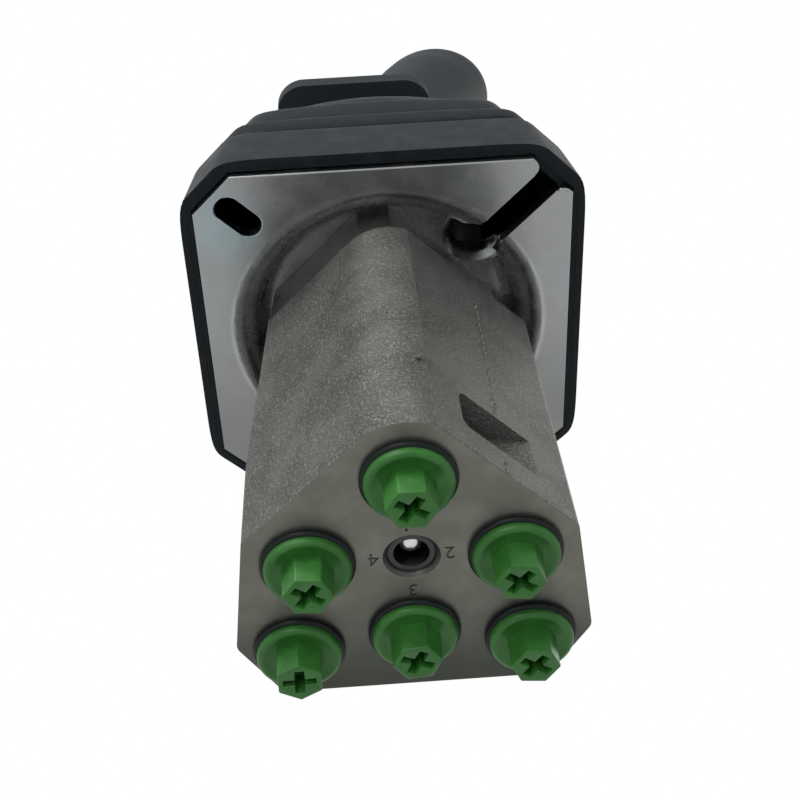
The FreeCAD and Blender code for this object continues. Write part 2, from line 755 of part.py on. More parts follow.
def spring_seat(number_text, x, y):
    """Seat between the pusher and both springs; its cup holds the spool's head."""
    seat = new_body(f"spring_seat_{number_text}", x=f"{x} * port_circle_r", y=f"{y} * port_circle_r")
    turned(seat, [
        ("0", SEAT_TOP),
        ("0", CUP_TOP),
        ("cup_bore_r", CUP_TOP),
        ("cup_bore_r", CUP_BORE_LOW),
        ("cup_hole_r", CUP_BORE_LOW),
        ("cup_hole_r", CUP_LOW),
        ("cup_r", CUP_LOW),
        ("cup_r", SEAT_LOW),
        ("seat_r", SEAT_LOW),
        ("seat_r", SEAT_TOP),
    ])


def spool(number_text, x, y):
    """Metering spool with its head, collar and control groove."""
    body = new_body(f"spool_{number_text}", x=f"{x} * port_circle_r", y=f"{y} * port_circle_r")
    low = f"({PORT_TOP} + spool_stroke + run_gap)"
    groove = "(-supply_gallery_depth)"
    turned(body, [
        ("0", low),
        ("spool_r", low),
        ("spool_r", f"{groove} - drill_r"),
        ("metering_groove_r", f"{groove} - drill_r"),
        ("metering_groove_r", f"{groove} + drill_r"),
        ("spool_r", f"{groove} + drill_r"),
        ("spool_r", f"{LAND_TOP} - collar_land_length"),
        ("collar_land_r", f"{LAND_TOP} - collar_land_length"),
        ("collar_land_r", LAND_TOP),
        ("spool_neck_r", LAND_TOP),
        ("spool_neck_r", f"{SPOOL_TOP} - spool_head_length"),
        ("spool_head_r", f"{SPOOL_TOP} - spool_head_length"),
        ("spool_head_r", SPOOL_TOP),
        ("0", SPOOL_TOP),
    ])


def coil_spring(name, side, mean_r, wire, low, high, turns):
    """Coil spring of square wire with closed ends, as straight facets along its helix.

    The first and last turn lie nearly flat; low and high are the faces that the spring fills.
    """
    steps_per_turn = 10
    half = number(wire) / 2
    bottom, top = number(low), number(high)
    radius = number(mean_r) / math.cos(math.pi / steps_per_turn)
    x, y = (step * number("port_circle_r") for step in side)
    steps = turns * steps_per_turn
    clearance = half * 1.05

    def height(step):
        """Rise of the helix: slow in the end turns, even between them."""
        end_rise = 2.3 * half
        free = top - bottom - 2 * clearance - 2 * end_rise
        turn = step / steps_per_turn
        if turn <= 1:
            return bottom + clearance + end_rise * turn
        if turn >= turns - 1:
            return top - clearance - end_rise * (turns - turn)
        return bottom + clearance + end_rise + free * (turn - 1) / (turns - 2)

    sections = []
    for step in range(steps + 1):
        angle = 2 * math.pi * step / steps_per_turn
        z = height(step)
        section = []
        for out, up in ((-half, -half), (half, -half), (half, half), (-half, half)):
            reach = radius + out
            section.append(Vector(x + reach * math.cos(angle), y + reach * math.sin(angle), z + up))
        sections.append(section)
    faces = [Part.Face(Part.makePolygon(ring + ring[:1])) for ring in (sections[0][::-1], sections[-1])]
    for ring, following in zip(sections, sections[1:]):
        for index in range(4):
            beside = (index + 1) % 4
            for corners in ([ring[index], ring[beside], following[index]],
                            [ring[beside], following[beside], following[index]]):
                faces.append(Part.Face(Part.makePolygon(corners + corners[:1])))
    solid = Part.Solid(Part.Shell(faces))
    if solid.Volume < 0:
        solid.reverse()
    spring = doc.addObject("Part::Feature", name)
    spring.Label = name
    spring.Shape = solid
    PIECES.append(spring)


def ears(body, role, bottom, flip=""):
    """Pair of bored ears about the pivot. They reach up to it, or down with flip set to a minus."""
    rise = f"({bottom} - pivot_z)"
    for sign, back in (("", False), ("-", True)):
        ear = sketch_on(body, role, f"{sign}ear_inner")
        draw(ear, [
            ("ear_r", "pivot_z"),
            ("0", f"pivot_z + {flip}ear_r", f"{flip}ear_r"),
            ("-ear_r", "pivot_z", f"{flip}ear_r"),
            ("-ear_r", f"pivot_z + {rise}"),
            ("ear_r", f"pivot_z + {rise}"),
        ])
        circle(ear, "trunnion_r + fit_gap", y="pivot_z")
        pad(body, ear, "ear_thick", back=back)


def joint_base():
    """Lower fork of the universal joint: stud into the body, hexagon on the plate, two ears."""
    base = new_body("joint_base")
    shank = sketch_on(base, "XY_Plane", "dish_rise - joint_stud_length")
    circle(shank, "joint_stud_r")
    pad(base, shank, "joint_stud_length + plate_thick")
    hexagon = sketch_on(base, "XY_Plane", PLATE_TOP)
    draw(hexagon, polygon("joint_hex", turn=0))
    pad(base, hexagon, "joint_hex_height")
    ears(base, "YZ_Plane", JOINT_TOP)


def cross_spider():
    """Cross of the universal joint with four trunnions."""
    cross = new_body("cross_spider", z="pivot_z")
    block = sketch_on(cross, "XY_Plane")
    draw(block, box_outline("cross_half", "cross_half"))
    pad(cross, block, "2 * cross_half", side="Symmetric")
    for role in ("XZ_Plane", "YZ_Plane"):
        trunnion = sketch_on(cross, role)
        circle(trunnion, "trunnion_r")
        pad(cross, trunnion, "2 * (ear_inner + ear_thick)", side="Symmetric")


def top_fork():
    """Upper fork: two ears, hub and the stud that carries the cam disc and the lever."""
    fork = new_body("top_fork")
    hub = sketch_on(fork, "XY_Plane", "pivot_z + fork_hub_rise")
    circle(hub, "fork_hub_r")
    pad(fork, hub, "fork_hub_height")
    shank = sketch_on(fork, "XY_Plane", FORK_TOP)
    circle(shank, "fork_stud_r")
    pad(fork, shank, "fork_stud_height")
    ears(fork, "XZ_Plane", "pivot_z + fork_hub_rise", flip="-")


def cam_disc():
    """Dished disc whose flat ring presses the pushers."""
    disc = new_body("cam_disc")
    bore = "fork_stud_r + fit_gap"
    turned(disc, [
        ("disc_ring_r", CONTACT_Z),
        ("disc_r", CONTACT_Z),
        ("disc_r", f"{CONTACT_Z} + disc_rim"),
        ("disc_ring_r + disc_rim", f"{CONTACT_Z} + disc_rim"),
        ("disc_hub_r", f"{DISC_TOP} - disc_rim / 2"),
        ("disc_hub_r", DISC_TOP),
        (bore, DISC_TOP),
        (bore, FORK_TOP),
        ("fork_hub_r + 2 * run_gap", FORK_TOP),
        ("disc_ring_r", f"{CONTACT_Z} + disc_rim / 2"),
    ])


def nut(name, across, bore, low, height, turn=0):
    """Hexagon nut on the lever's axis."""
    body = new_body(name)
    hexagon = sketch_on(body, "XY_Plane", low)
    draw(hexagon, polygon(across, turn=turn))
    circle(hexagon, bore)
    pad(body, hexagon, height)


def lever_coupling():
    """Long hexagon that joins the top fork's stud and the lever rod."""
    body = new_body("lever_coupling")
    hexagon = sketch_on(body, "XY_Plane", LOCK_TOP)
    draw(hexagon, polygon("coupling_hex", turn=30))
    pad(body, hexagon, "coupling_height")
    stud_bore = sketch_on(body, "XY_Plane", LOCK_TOP)
    circle(stud_bore, "fork_stud_r + fit_gap")
    pocket(body, stud_bore, f"{STUD_TOP} - {LOCK_TOP} + run_gap", back=True)
    rod_bore = sketch_on(body, "XY_Plane", COUPLING_TOP)
    circle(rod_bore, "rod_r + fit_gap")
    pocket(body, rod_bore, "rod_grip + run_gap")


def lever_rod():
    """Round rod: straight in the coupling, then bent once towards the grip's lean."""
    rod = new_body("lever_rod")
    section = sketch_on(rod, "XY_Plane", ROD_LOW)
    circle(section, "rod_r")
    path = sketch_on(rod, "XZ_Plane", turn=number("lean_heading"))
    bend_x, bend_y = "bend_r * (1 - cos(lean_angle))", "(bend_z + bend_r * sin(lean_angle))"
    end_x, end_y = f"{bend_x} + rod_upper * sin(lean_angle)", f"{bend_y} + rod_upper * cos(lean_angle)"
    points = [Vector(number(x), number(y), 0)
              for x, y in (("0", ROD_LOW), ("0", "bend_z"), (bend_x, bend_y), (end_x, end_y))]
    path.addGeometry(Part.LineSegment(points[0], points[1]), False)
    path.addGeometry(arc_between(points[1], points[2], -number("bend_r")), False)
    path.addGeometry(Part.LineSegment(points[2], points[3]), False)
    path.addConstraint(Sketcher.Constraint("Coincident", 0, 2, 1, 2))
    path.addConstraint(Sketcher.Constraint("Coincident", 1, 1, 2, 1))
    size = path.addConstraint(Sketcher.Constraint("Radius", 1, number("bend_r")))
    path.setExpression(f"Constraints[{size}]", bound("bend_r"))
    pin_point(path, 0, 1, ("0", ROD_LOW))
    pin_point(path, 0, 2, ("0", "bend_z"))
    pin_point(path, 2, 1, (bend_x, bend_y))
    pin_point(path, 2, 2, (end_x, end_y))
    pipe = rod.newObject("PartDesign::AdditivePipe", "lever_rod_pipe")
    pipe.Profile = section
    pipe.Spine = (path, ["Edge1", "Edge2", "Edge3"])
    doc.recompute()


def lean_x(z):
    """Where the grip's leaning axis passes height z, along X and along Y."""
    return f"(({z}) - bend_z) * tan(lean_angle) * cos(lean_heading)"


def lean_y(z):
    return f"(({z}) - bend_z) * tan(lean_angle) * sin(lean_heading)"


def hand_rest():
    """Flat rest under the hand with a round neck below that the boot closes on."""
    rest = new_body("hand_rest")
    outline = sketch_on(rest, "XY_Plane", "rest_z")
    draw(outline, [
        ("rest_right", "-rest_front"), ("rest_right", "rest_rear"),
        ("-rest_left", "rest_rear"), ("-rest_left", "-rest_front"),
    ])
    pad(rest, outline, "rest_thick")
    dress(rest, "Fillet", "rest_round", lambda edge: edge.BoundBox.ZLength > number("rest_thick") / 2)
    top = number(REST_TOP)
    dress(rest, "Fillet", "rest_thick / 3", lambda edge: level(edge, top))
    neck = sketch_on(rest, "XY_Plane", "rest_z")
    circle(neck, "rest_neck_r")
    pad(rest, neck, "rest_neck_height", back=True)
    socket = sketch_on(rest, "XY_Plane", "rest_z - rest_neck_height")
    circle(socket, "rest_socket_r")
    pocket(rest, socket, f"{ROD_NUT_TOP} - (rest_z - rest_neck_height)", back=True)
    bore = sketch_on(rest, "XY_Plane", "rest_z - rest_neck_height")
    circle(bore, "rod_r + run_gap")
    pocket(rest, bore, "rest_neck_height + rest_thick", back=True)


def grip_section(body, z, half_x, half_y):
    """Oval section of the grip at height z, centred on its leaning axis."""
    sketch = sketch_on(body, "XY_Plane", z)
    x, y = lean_x(z), lean_y(z)
    long_r, short_r = number(half_y), number(half_x)
    middle = Vector(number(x), number(y), 0)
    oval = Part.Ellipse(middle + Vector(0, long_r, 0), middle + Vector(short_r, 0, 0), middle)
    sketch.addGeometry(oval, False)
    return sketch


def grip_loft(body, kind, inset):
    """Loft through the grip's sections, each drawn in by an inset; the head ends as a ball."""
    ball = f"(head_radius - {inset})"
    levels = [
        (REST_TOP, f"foot_x - {inset}", f"foot_y - {inset}"),
        ("waist_z", f"waist_x - {inset}", f"waist_y - {inset}"),
        ("head_z - head_radius / 2", f"0.95 * {ball}", f"1.03 * {ball}"),
    ]
    for rise in (0.2, 0.6, 0.85, 0.97):
        reach = f"{ball} * {math.sqrt(1 - rise * rise):.4f}"
        levels.append((f"head_z + {ball} * {rise}", reach, f"1.01 * {reach}"))
    sketches = [grip_section(body, z, half_x, half_y) for z, half_x, half_y in levels]
    loft = body.newObject(f"PartDesign::{kind}", f"{body.Name}_loft")
    loft.Profile = sketches[0]
    loft.Sections = sketches[1:]
    doc.recompute()
    return loft


def screw_places():
    """Where the grip's screws cross the split plane: (distance along the lean, height)."""
    lean = "tan(lean_angle)"
    return [
        (f"(screw_low_z - bend_z) * {lean} + screw_offset", "screw_low_z"),
        (f"(screw_mid_z - bend_z) * {lean} - screw_offset", "screw_mid_z"),
        (f"(screw_top_z - bend_z) * {lean}", "screw_top_z"),
    ]


def screw_circles(body, radius, height="0"):
    """Sketch parallel to the grip's split plane with a circle at each screw."""
    sketch = sketch_on(body, "XZ_Plane", height, turn=number("lean_heading"))
    for along, z in screw_places():
        circle(sketch, radius, x=along, y=z)
    return sketch


def grip_shell(name, side):
    """One half of the grip, split along the vertical plane through its lean."""
    shell = new_body(name)
    grip_loft(shell, "AdditiveLoft", "0")
    grip_loft(shell, "SubtractiveLoft", "shell_wall")
    lengths = ["screw_boss_long", "screw_boss_short"][::side] + ["screw_top_boss"]
    for (along, z), length in zip(screw_places(), lengths):
        boss = sketch_on(shell, "XZ_Plane", turn=number("lean_heading"))
        circle(boss, "screw_boss_r", x=along, y=z)
        pad(shell, boss, f"2 * {length}", side="Symmetric")
    reach = "2 * (screw_length - screw_seat + run_gap)"
    pocket(shell, screw_circles(shell, "screw_r + fit_gap"), reach, side="Symmetric")
    outside = screw_circles(shell, "screw_head_r + fit_gap", "-screw_seat")
    pocket(shell, outside, "2 * head_radius")
    split = sketch_on(shell, "XZ_Plane", turn=number("lean_heading"))
    reach = "(4 * head_radius)"
    top = f"head_z + {reach}"
    draw(split, [(f"-{reach}", "rest_z"), (reach, "rest_z"), (reach, top), (f"-{reach}", top)])
    pocket(shell, split, reach, back=side > 0)


def grip_screws():
    """Three screws that hold the grip's halves together, their heads sunk in the left half."""
    screws = new_body("grip_screws")
    screws.AllowCompound = True
    shank = screw_circles(screws, "screw_r", "-screw_seat")
    pad(screws, shank, "screw_length")
    head = screw_circles(screws, "screw_head_r", "-screw_seat")
    pad(screws, head, "screw_head_height", back=True)


def octagon(half, corner, inset="0"):
    """Square with cut corners about the origin, every side drawn in by an inset."""
    reach = f"({half} - ({inset}))"
    edge = f"({half} - ({corner}) - ({inset}) * (sqrt(2) - 1))"
    return [
        (edge, f"-{reach}"), (reach, f"-{edge}"), (reach, edge), (edge, reach),
        (f"-{edge}", reach), (f"-{reach}", edge), (f"-{reach}", f"-{edge}"), (f"-{edge}", f"-{reach}"),
    ]


def boot():
    """Rubber bellows from the plate's rim up to the hand rest's neck.

    Its foot goes round the plate's edge and a ledge inside it rests on the plate.
    """
    collar = "(rest_neck_r + run_gap + boot_wall)"
    levels = [
        ("boot_lip_z", BOOT_HALF, "boot_corner"),
        ("skirt_top_z", f"{BOOT_HALF} - skirt_draw_in", "boot_corner"),
        ("skirt_top_z + 2.5", f"{BOOT_HALF} - skirt_draw_in - fold_depth", "boot_corner"),
        ("skirt_top_z + 5", "fold_one_half + 0.4", "boot_corner + 1"),
        ("fold_one_z", "fold_one_half", "boot_corner + 1"),
        ("fold_one_z + 3", "fold_one_half - fold_depth - 1", "boot_corner + 2"),
        ("fold_one_z + 6.5", "fold_two_half + 0.6", "boot_corner + 3"),
        ("fold_two_z", "fold_two_half", "boot_corner + 4"),
        ("fold_two_z + 4", "fold_two_half - fold_depth - 3", "boot_corner + 4"),
        ("fold_two_z + 9", "fold_three_half + 2", "boot_corner + 4"),
        ("fold_three_z", "fold_three_half", "boot_corner + 4"),
        ("boot_top_z - 1.5", collar, f"0.586 * {collar}"),
        ("boot_top_z + 2.5", collar, f"0.586 * {collar}"),
    ]
    bellows = new_body("boot")
    for kind, inset in (("AdditiveLoft", "0"), ("SubtractiveLoft", "boot_wall")):
        sketches = []
        for z, half, corner in levels:
            sketch = sketch_on(bellows, "XY_Plane", z)
            draw(sketch, octagon(half, corner, inset))
            sketches.append(sketch)
        loft = bellows.newObject(f"PartDesign::{kind}", f"boot_{kind.lower()}")
        loft.Ruled = True
        loft.Profile = sketches[0]
        loft.Sections = sketches[1:]
        doc.recompute()
    for low, height, overhang in (("boot_lip_z", "plate_thick - boot_lip_z", "-run_gap"),
                                  ("plate_thick", "boot_wall", "boot_ledge")):
        foot = sketch_on(bellows, "XY_Plane", low)
        draw(foot, octagon(BOOT_HALF, "boot_corner", "boot_wall / 3"))
        draw(foot, octagon("plate_half", "plate_corner", overhang))
        pad(bellows, foot, height)


def build():
    """All sub-parts, from the port face up to the grip."""
    valve_body()
    centre_plug()
    supply_places = {"t": ("supply_x", "supply_y"), "p": ("-supply_x", "supply_y")}
    control_places = {
        name: (f"{x} * port_circle_r", f"{y} * port_circle_r")
        for name, (x, y) in PORT_SIDES.items()
    }
    plug_turns = {"1": 2, "2": 8, "3": -6, "4": 4, "p": -30, "t": 6}
    plug_places = {**control_places, **supply_places}
    for name, (x, y) in plug_places.items():
        transport_plug(f"port_plug_{name}", x, y, plug_turns[name])
    rings("plug_seals", [(x, y, "-face_depth - seal_thick") for x, y in plug_places.values()],
          "port_thread_r", "seal_r", "seal_thick")
    mounting_plate()
    for name, (x, y) in PORT_SIDES.items():
        guide_bush(name, x, y)
        pusher(name, x, y)
        spring_seat(name, x, y)
        spool(name, x, y)
        for kind, low in (("return", CHAMBER_LOW), ("metering", LAND_TOP)):
            mean_r = f"{kind}_spring_r - {kind}_wire / 2"
            coil_spring(f"{kind}_spring_{name}", (x, y), mean_r, f"{kind}_wire", low, SEAT_LOW, 8)
    seal_z = "dish_rise - 3 * ring_height + fit_gap"
    rings("bush_seals", [(x, y, seal_z) for x, y in control_places.values()],
          "bush_r - ring_depth + fit_gap", "bush_r", "ring_height - 2 * fit_gap")
    wiper_z = f"{PLATE_TOP} + bush_rise - ring_height"
    rings("wiper_rings", [(x, y, wiper_z) for x, y in control_places.values()],
          "stem_r + 0.02", "stem_r + ring_depth", "ring_height")
    joint_base()
    cross_spider()
    top_fork()
    cam_disc()
    nut("cam_lock_nut", "lock_hex", "fork_stud_r + fit_gap", DISC_TOP, "lock_height")
    lever_coupling()
    lever_rod()
    nut("rod_lock_nut", "lock_hex", "rod_r + fit_gap", COUPLING_TOP, "rod_lock_height", turn=12)
    hand_rest()
    grip_shell("grip_shell_left", 1)
    grip_shell("grip_shell_right", -1)
    grip_screws()
    boot()


def check_and_write():
    """Stop at anything that failed to build, then write one STEP file for each sub-part."""
    doc.recompute()
    for item in doc.Objects:
        if "Invalid" in item.State or "Error" in item.State:
            raise RuntimeError(f"{item.Label} failed to build")
    os.makedirs("parts", exist_ok=True)
    for piece in PIECES:
        if piece.Shape.isNull() or not piece.Shape.isValid():
            raise RuntimeError(f"{piece.Label} has no valid shape")
        piece.Shape.exportStep(f"parts/{piece.Label}.step")
        print(piece.Label, len(piece.Shape.Solids), round(piece.Shape.Volume, 1))


build()
check_and_write()
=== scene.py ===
import bmesh
import bpy
import json
import math
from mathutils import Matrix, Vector

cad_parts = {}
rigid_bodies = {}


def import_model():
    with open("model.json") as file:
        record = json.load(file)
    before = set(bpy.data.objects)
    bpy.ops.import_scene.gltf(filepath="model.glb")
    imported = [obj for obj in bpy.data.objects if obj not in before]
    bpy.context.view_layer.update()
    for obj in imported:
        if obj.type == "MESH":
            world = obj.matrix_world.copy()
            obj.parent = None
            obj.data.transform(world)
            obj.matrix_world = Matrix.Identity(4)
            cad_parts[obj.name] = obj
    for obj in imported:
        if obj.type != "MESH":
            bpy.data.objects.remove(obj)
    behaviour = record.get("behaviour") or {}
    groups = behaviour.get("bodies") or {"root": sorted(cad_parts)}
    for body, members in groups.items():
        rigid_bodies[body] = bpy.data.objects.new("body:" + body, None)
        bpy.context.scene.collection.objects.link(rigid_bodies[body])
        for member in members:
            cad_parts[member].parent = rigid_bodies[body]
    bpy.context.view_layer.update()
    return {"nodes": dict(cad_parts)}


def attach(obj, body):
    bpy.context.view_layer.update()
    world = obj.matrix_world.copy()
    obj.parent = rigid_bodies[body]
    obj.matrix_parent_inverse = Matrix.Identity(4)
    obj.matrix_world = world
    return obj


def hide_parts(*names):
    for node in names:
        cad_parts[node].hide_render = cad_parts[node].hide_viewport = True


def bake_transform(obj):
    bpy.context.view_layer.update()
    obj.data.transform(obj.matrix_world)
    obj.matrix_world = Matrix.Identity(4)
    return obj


# Hydraulic pilot joystick valve, seen from below its port face. Sizes are in metres.

MM = 0.001
NEAR = 0.01 * MM                     # a point this close to a height counts as level with it
CLEAR = 1 * MM                       # how far a cutting tool stands past what it cuts
BROKEN_EDGE = 0.3 * MM

# Ports: x and y of each one, and the turn of its plug in degrees
PORT_FACE = -84.7 * MM
PORT_CIRCLE = 22.0 * MM
SUPPLY_X = 25.64 * MM
SUPPLY_Y = 25.69 * MM
CONTROL_PORTS = {
    "1": (0, -PORT_CIRCLE, 2), "2": (PORT_CIRCLE, 0, 8), "3": (0, PORT_CIRCLE, -6),
    "4": (-PORT_CIRCLE, 0, 4),
}
SUPPLY_PORTS = {"p": (-SUPPLY_X, SUPPLY_Y, -30), "t": (SUPPLY_X, SUPPLY_Y, 6)}
PLUG_PLACES = {**CONTROL_PORTS, **SUPPLY_PORTS}
CONTROL_BORES = [Vector((x, y)) for x, y, _turn in CONTROL_PORTS.values()]

# Engraved numbers: x, y and height in millimetres
NUMBERS = {
    "1": (-0.9, -9.2, 3.4), "2": (8.1, -0.7, 3.4), "3": (0.0, 9.6, 3.4), "4": (-8.1, -0.1, 3.6),
}
ENGRAVING = 0.25 * MM
FIGURE_SHARE = 0.71                  # height of a figure as a share of its text size

# Casting
RECESS_LOW = -78.5 * MM
RECESS_TOP = -64.2 * MM
PARTING_LOW = -83.2 * MM
PARTING_STEP = 2.5 * MM
PARTING_GRAINS = 26
CHAMFER_DRAFT = 0.0296
LEFT_CHAMFER = math.radians(-135)
RIGHT_CHAMFER = math.radians(-45)
LEFT_DRAFT = math.radians(4.9)
LEFT_SPLAY = math.radians(7.2)
SHOULDER_START = -10 * MM
SHOULDER_TOP = -1 * MM
SHOULDER_ROUND = 4 * MM
NECK_LOW = -6 * MM
NECK_TOP = 9.2 * MM

# Transport plug, from the port face down, and the seal ring behind it
FLANGE_RADIUS = 9.4 * MM
FLANGE_TOP = -1.8 * MM
FLANGE_LOW = -3.4 * MM
SHANK_RADIUS = 6.53 * MM
SHANK_LOW = -2.2 * MM
HEXAGON_LOW = -10 * MM
HEXAGON_FLAT = 4.85 * MM
SEAL_RADIUS = 8.6 * MM
SEAL_HALF_WIDTH = 1.6 * MM
SEAL_HALF_HEIGHT = 0.9 * MM

# Boot and grip
BOOT_WALL = 1.8 * MM
BOOT_SPLIT = 51 * MM
HEADING = math.radians(36.87)
LEAN = math.radians(21.5)
BEND_Z = 88 * MM
REST_TOP = 89 * MM
HEAD_Z = 160.3                       # centre of the grip's round head, in millimetres
HEAD_RADIUS = 20

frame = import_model()


# Modelling helpers

def only(part):
    """Leave edit mode and select this part alone."""
    if bpy.context.mode != "OBJECT":
        bpy.ops.object.mode_set(mode="OBJECT")
    bpy.ops.object.select_all(action="DESELECT")
    part.select_set(True)
    bpy.context.view_layer.objects.active = part


def edit(part, kind, wanted):
    """Open the part and select the points, edges or faces that are wanted."""
    only(part)
    bpy.ops.object.mode_set(mode="EDIT")
    bpy.ops.mesh.select_mode(type=kind)
    bpy.ops.mesh.select_all(action="DESELECT")
    mesh = bmesh.from_edit_mesh(part.data)
    for item in {"VERT": mesh.verts, "EDGE": mesh.edges, "FACE": mesh.faces}[kind]:
        if wanted(item):
            item.select_set(True)
    bmesh.update_edit_mesh(part.data)


def close(part):
    """Back to object mode, with double points merged and the faces turned outwards."""
    bpy.ops.mesh.select_all(action="SELECT")
    bpy.ops.mesh.remove_doubles(threshold=0.002 * MM)
    bpy.ops.mesh.normals_make_consistent(inside=False)
    bpy.ops.object.mode_set(mode="OBJECT")


def everything(_item):
    return True


def turned_out(part):
    """Turn all faces of a part over where they point inwards."""
    edit(part, "FACE", everything)
    if bmesh.from_edit_mesh(part.data).calc_volume(signed=True) < 0:
        bpy.ops.mesh.select_all(action="SELECT")
        bpy.ops.mesh.flip_normals()
    bpy.ops.object.mode_set(mode="OBJECT")


def facing(direction):
    """Test for faces that look along a direction."""
    return lambda face: face.normal.dot(Vector(direction)) > 0.99


def level(point, height):
    """True for a point at a height."""
    return abs(point.co.z - height) < NEAR


def added(name, operator, turn=0, **place):
    """New primitive under a name, alone in the selection, with its place in its mesh."""
    if bpy.context.mode != "OBJECT":
        bpy.ops.object.mode_set(mode="OBJECT")
    bpy.ops.object.select_all(action="DESELECT")
    operator(**place)
    part = bpy.context.active_object
    part.name = part.data.name = name
    part.rotation_euler.z += turn
    bpy.ops.object.transform_apply(location=True, rotation=True, scale=True)
    return part


def drum(name, radius, low, high, sides, turn=0):
    """Upright cylinder about the origin, from a low to a high end."""
    return added(name, bpy.ops.mesh.primitive_cylinder_add, turn=turn, vertices=sides,
                 radius=radius, depth=high - low, location=(0, 0, (low + high) / 2))


def block(name, size, centre, turn=0):
    """Block that is turned first and then put with its middle at centre."""
    part = added(name, bpy.ops.mesh.primitive_cube_add, size=1, scale=size)
    move(part, turn=turn)
    move(part, shift=centre)
    return part


def move(part, shift=(0, 0, 0), turn=0, axis="Z"):
    """Turn a part about the origin and shift it, in its mesh."""
    only(part)
    part.rotation_euler = {"X": (turn, 0, 0), "Y": (0, turn, 0), "Z": (0, 0, turn)}[axis]
    part.location = shift
    bpy.ops.object.transform_apply(location=True, rotation=True, scale=True)


def copied(part, name):
    """Copy of a part, selected alone."""
    only(part)
    bpy.ops.object.duplicate()
    twin = bpy.context.active_object
    twin.name = twin.data.name = name
    return twin


def cad_copy(node, name):
    """Copy of a node of the frame, with its loose triangles merged."""
    part = copied(frame["nodes"][node], name)
    edit(part, "VERT", everything)
    close(part)
    return part


def joined(parts, name):
    """One object out of several."""
    only(parts[0])
    for part in parts:
        part.select_set(True)
    bpy.ops.object.join()
    parts[0].name = parts[0].data.name = name
    return parts[0]


def modified(part, kind, **settings):
    """Add a modifier and apply it."""
    only(part)
    modifier = part.modifiers.new(kind.title(), kind)
    for name, value in settings.items():
        setattr(modifier, name, value)
    bpy.ops.object.modifier_apply(modifier=modifier.name)


def combined(part, tool, operation):
    """Add a tool to a part or cut it away; the tool is used up."""
    modified(part, "BOOLEAN", object=tool, operation=operation, solver="EXACT")
    bpy.data.objects.remove(tool)


def smooth(part, angle):
    """Smooth shading, with edges sharper than the angle kept crisp."""
    only(part)
    bpy.ops.object.shade_smooth_by_angle(angle=math.radians(angle))


def flattened(part, top=1):
    """Join the triangles of each flat face below a height into one face."""
    edit(part, "FACE", lambda face: all(point.co.z < top for point in face.verts))
    bpy.ops.mesh.dissolve_limited(angle_limit=math.radians(0.4))
    close(part)


def smooth_curves(part, angle):
    """Smooth shading that keeps large flat faces flat."""
    smooth(part, angle)
    modified(part, "WEIGHTED_NORMAL", keep_sharp=True, weight=80)


def dressed(part, material):
    """Give a part one material."""
    part.data.materials.clear()
    part.data.materials.append(material)


# Shader helpers

class Wire:
    """A number that runs through a material. Arithmetic on it adds Math nodes."""

    def __init__(self, paint, socket):
        self.paint = paint
        self.socket = socket

    def maths(self, operation, first, second):
        return self.paint.node("ShaderNodeMath", {"operation": operation}, {0: first, 1: second})

    def __add__(self, other):
        return self.maths("ADD", self, other)

    def __sub__(self, other):
        return self.maths("SUBTRACT", self, other)

    def __rsub__(self, other):
        return self.maths("SUBTRACT", other, self)

    def __mul__(self, other):
        return self.maths("MULTIPLY", self, other)

    def __pow__(self, other):
        return self.maths("POWER", self, other)

    __radd__ = __add__
    __rmul__ = __mul__

    def between(self, low, high):
        """0 at low, 1 at high, with a soft step."""
        return self.paint.node("ShaderNodeMapRange", {"interpolation_type": "SMOOTHSTEP"},
                               {"Value": self, "From Min": low, "From Max": high})


class Paint:
    """One material on Object coordinates."""

    def __init__(self, name):
        self.material = bpy.data.materials.new(name)
        self.material.use_nodes = True
        self.tree = self.material.node_tree
        self.tree.nodes.clear()
        self.place = self.node("ShaderNodeTexCoord", {}, {}, "Object")

    def node(self, kind, settings, values, output=0):
        """Add a node with its settings and its values or links, and return one output."""
        made = self.tree.nodes.new(kind)
        for name, value in settings.items():
            setattr(made, name, value)
        for key, value in values.items():
            if isinstance(value, Wire):
                self.tree.links.new(value.socket, made.inputs[key])
            else:
                made.inputs[key].default_value = value
        return Wire(self, made.outputs[output]) if made.outputs else made

    def axis(self, name):
        return self.node("ShaderNodeSeparateXYZ", {}, {0: self.place}, name)

    def distance_from_axis(self):
        return (self.axis("X") ** 2 + self.axis("Y") ** 2) ** 0.5

    def noise(self, size, detail=2.0, roughness=0.5, stretch=(1, 1, 1)):
        """Noise whose features are about size across."""
        place = self.node("ShaderNodeMapping", {}, {"Vector": self.place, "Scale": stretch})
        return self.node("ShaderNodeTexNoise", {}, {
            "Vector": place, "Scale": 1 / size, "Detail": detail, "Roughness": roughness})

    def cells(self, size):
        """Distance to the middle of the nearest of many cells about size across."""
        values = {"Vector": self.place, "Scale": 1 / size}
        return self.node("ShaderNodeTexVoronoi", {}, values, "Distance")

    def mix(self, share, first, second):
        """Colour that goes from first to second as share goes from 0 to 1."""
        values = {0: share, 6: first, 7: second}
        return self.node("ShaderNodeMix", {"data_type": "RGBA"}, values, 2)

    def bump(self, height, depth, under=None):
        """Normal that height disturbs, on top of another one where it is given."""
        values = {"Height": height, "Distance": depth, "Strength": 1.0}
        if under:
            values["Normal"] = under
        return self.node("ShaderNodeBump", {}, values)

    def finish(self, **values):
        """Close the material with a shader that takes these values or links."""
        named = {key.replace("_", " ").title(): value for key, value in values.items()}
        named = {key.replace("Ior", "IOR"): value for key, value in named.items()}
        shader = self.node("ShaderNodeBsdfPrincipled", {}, named)
        self.node("ShaderNodeOutputMaterial", {}, {"Surface": shader})
        return self.material


def grey(tone, warm=0.0):
    return (tone * (1 + warm), tone, tone * (1 - warm), 1)


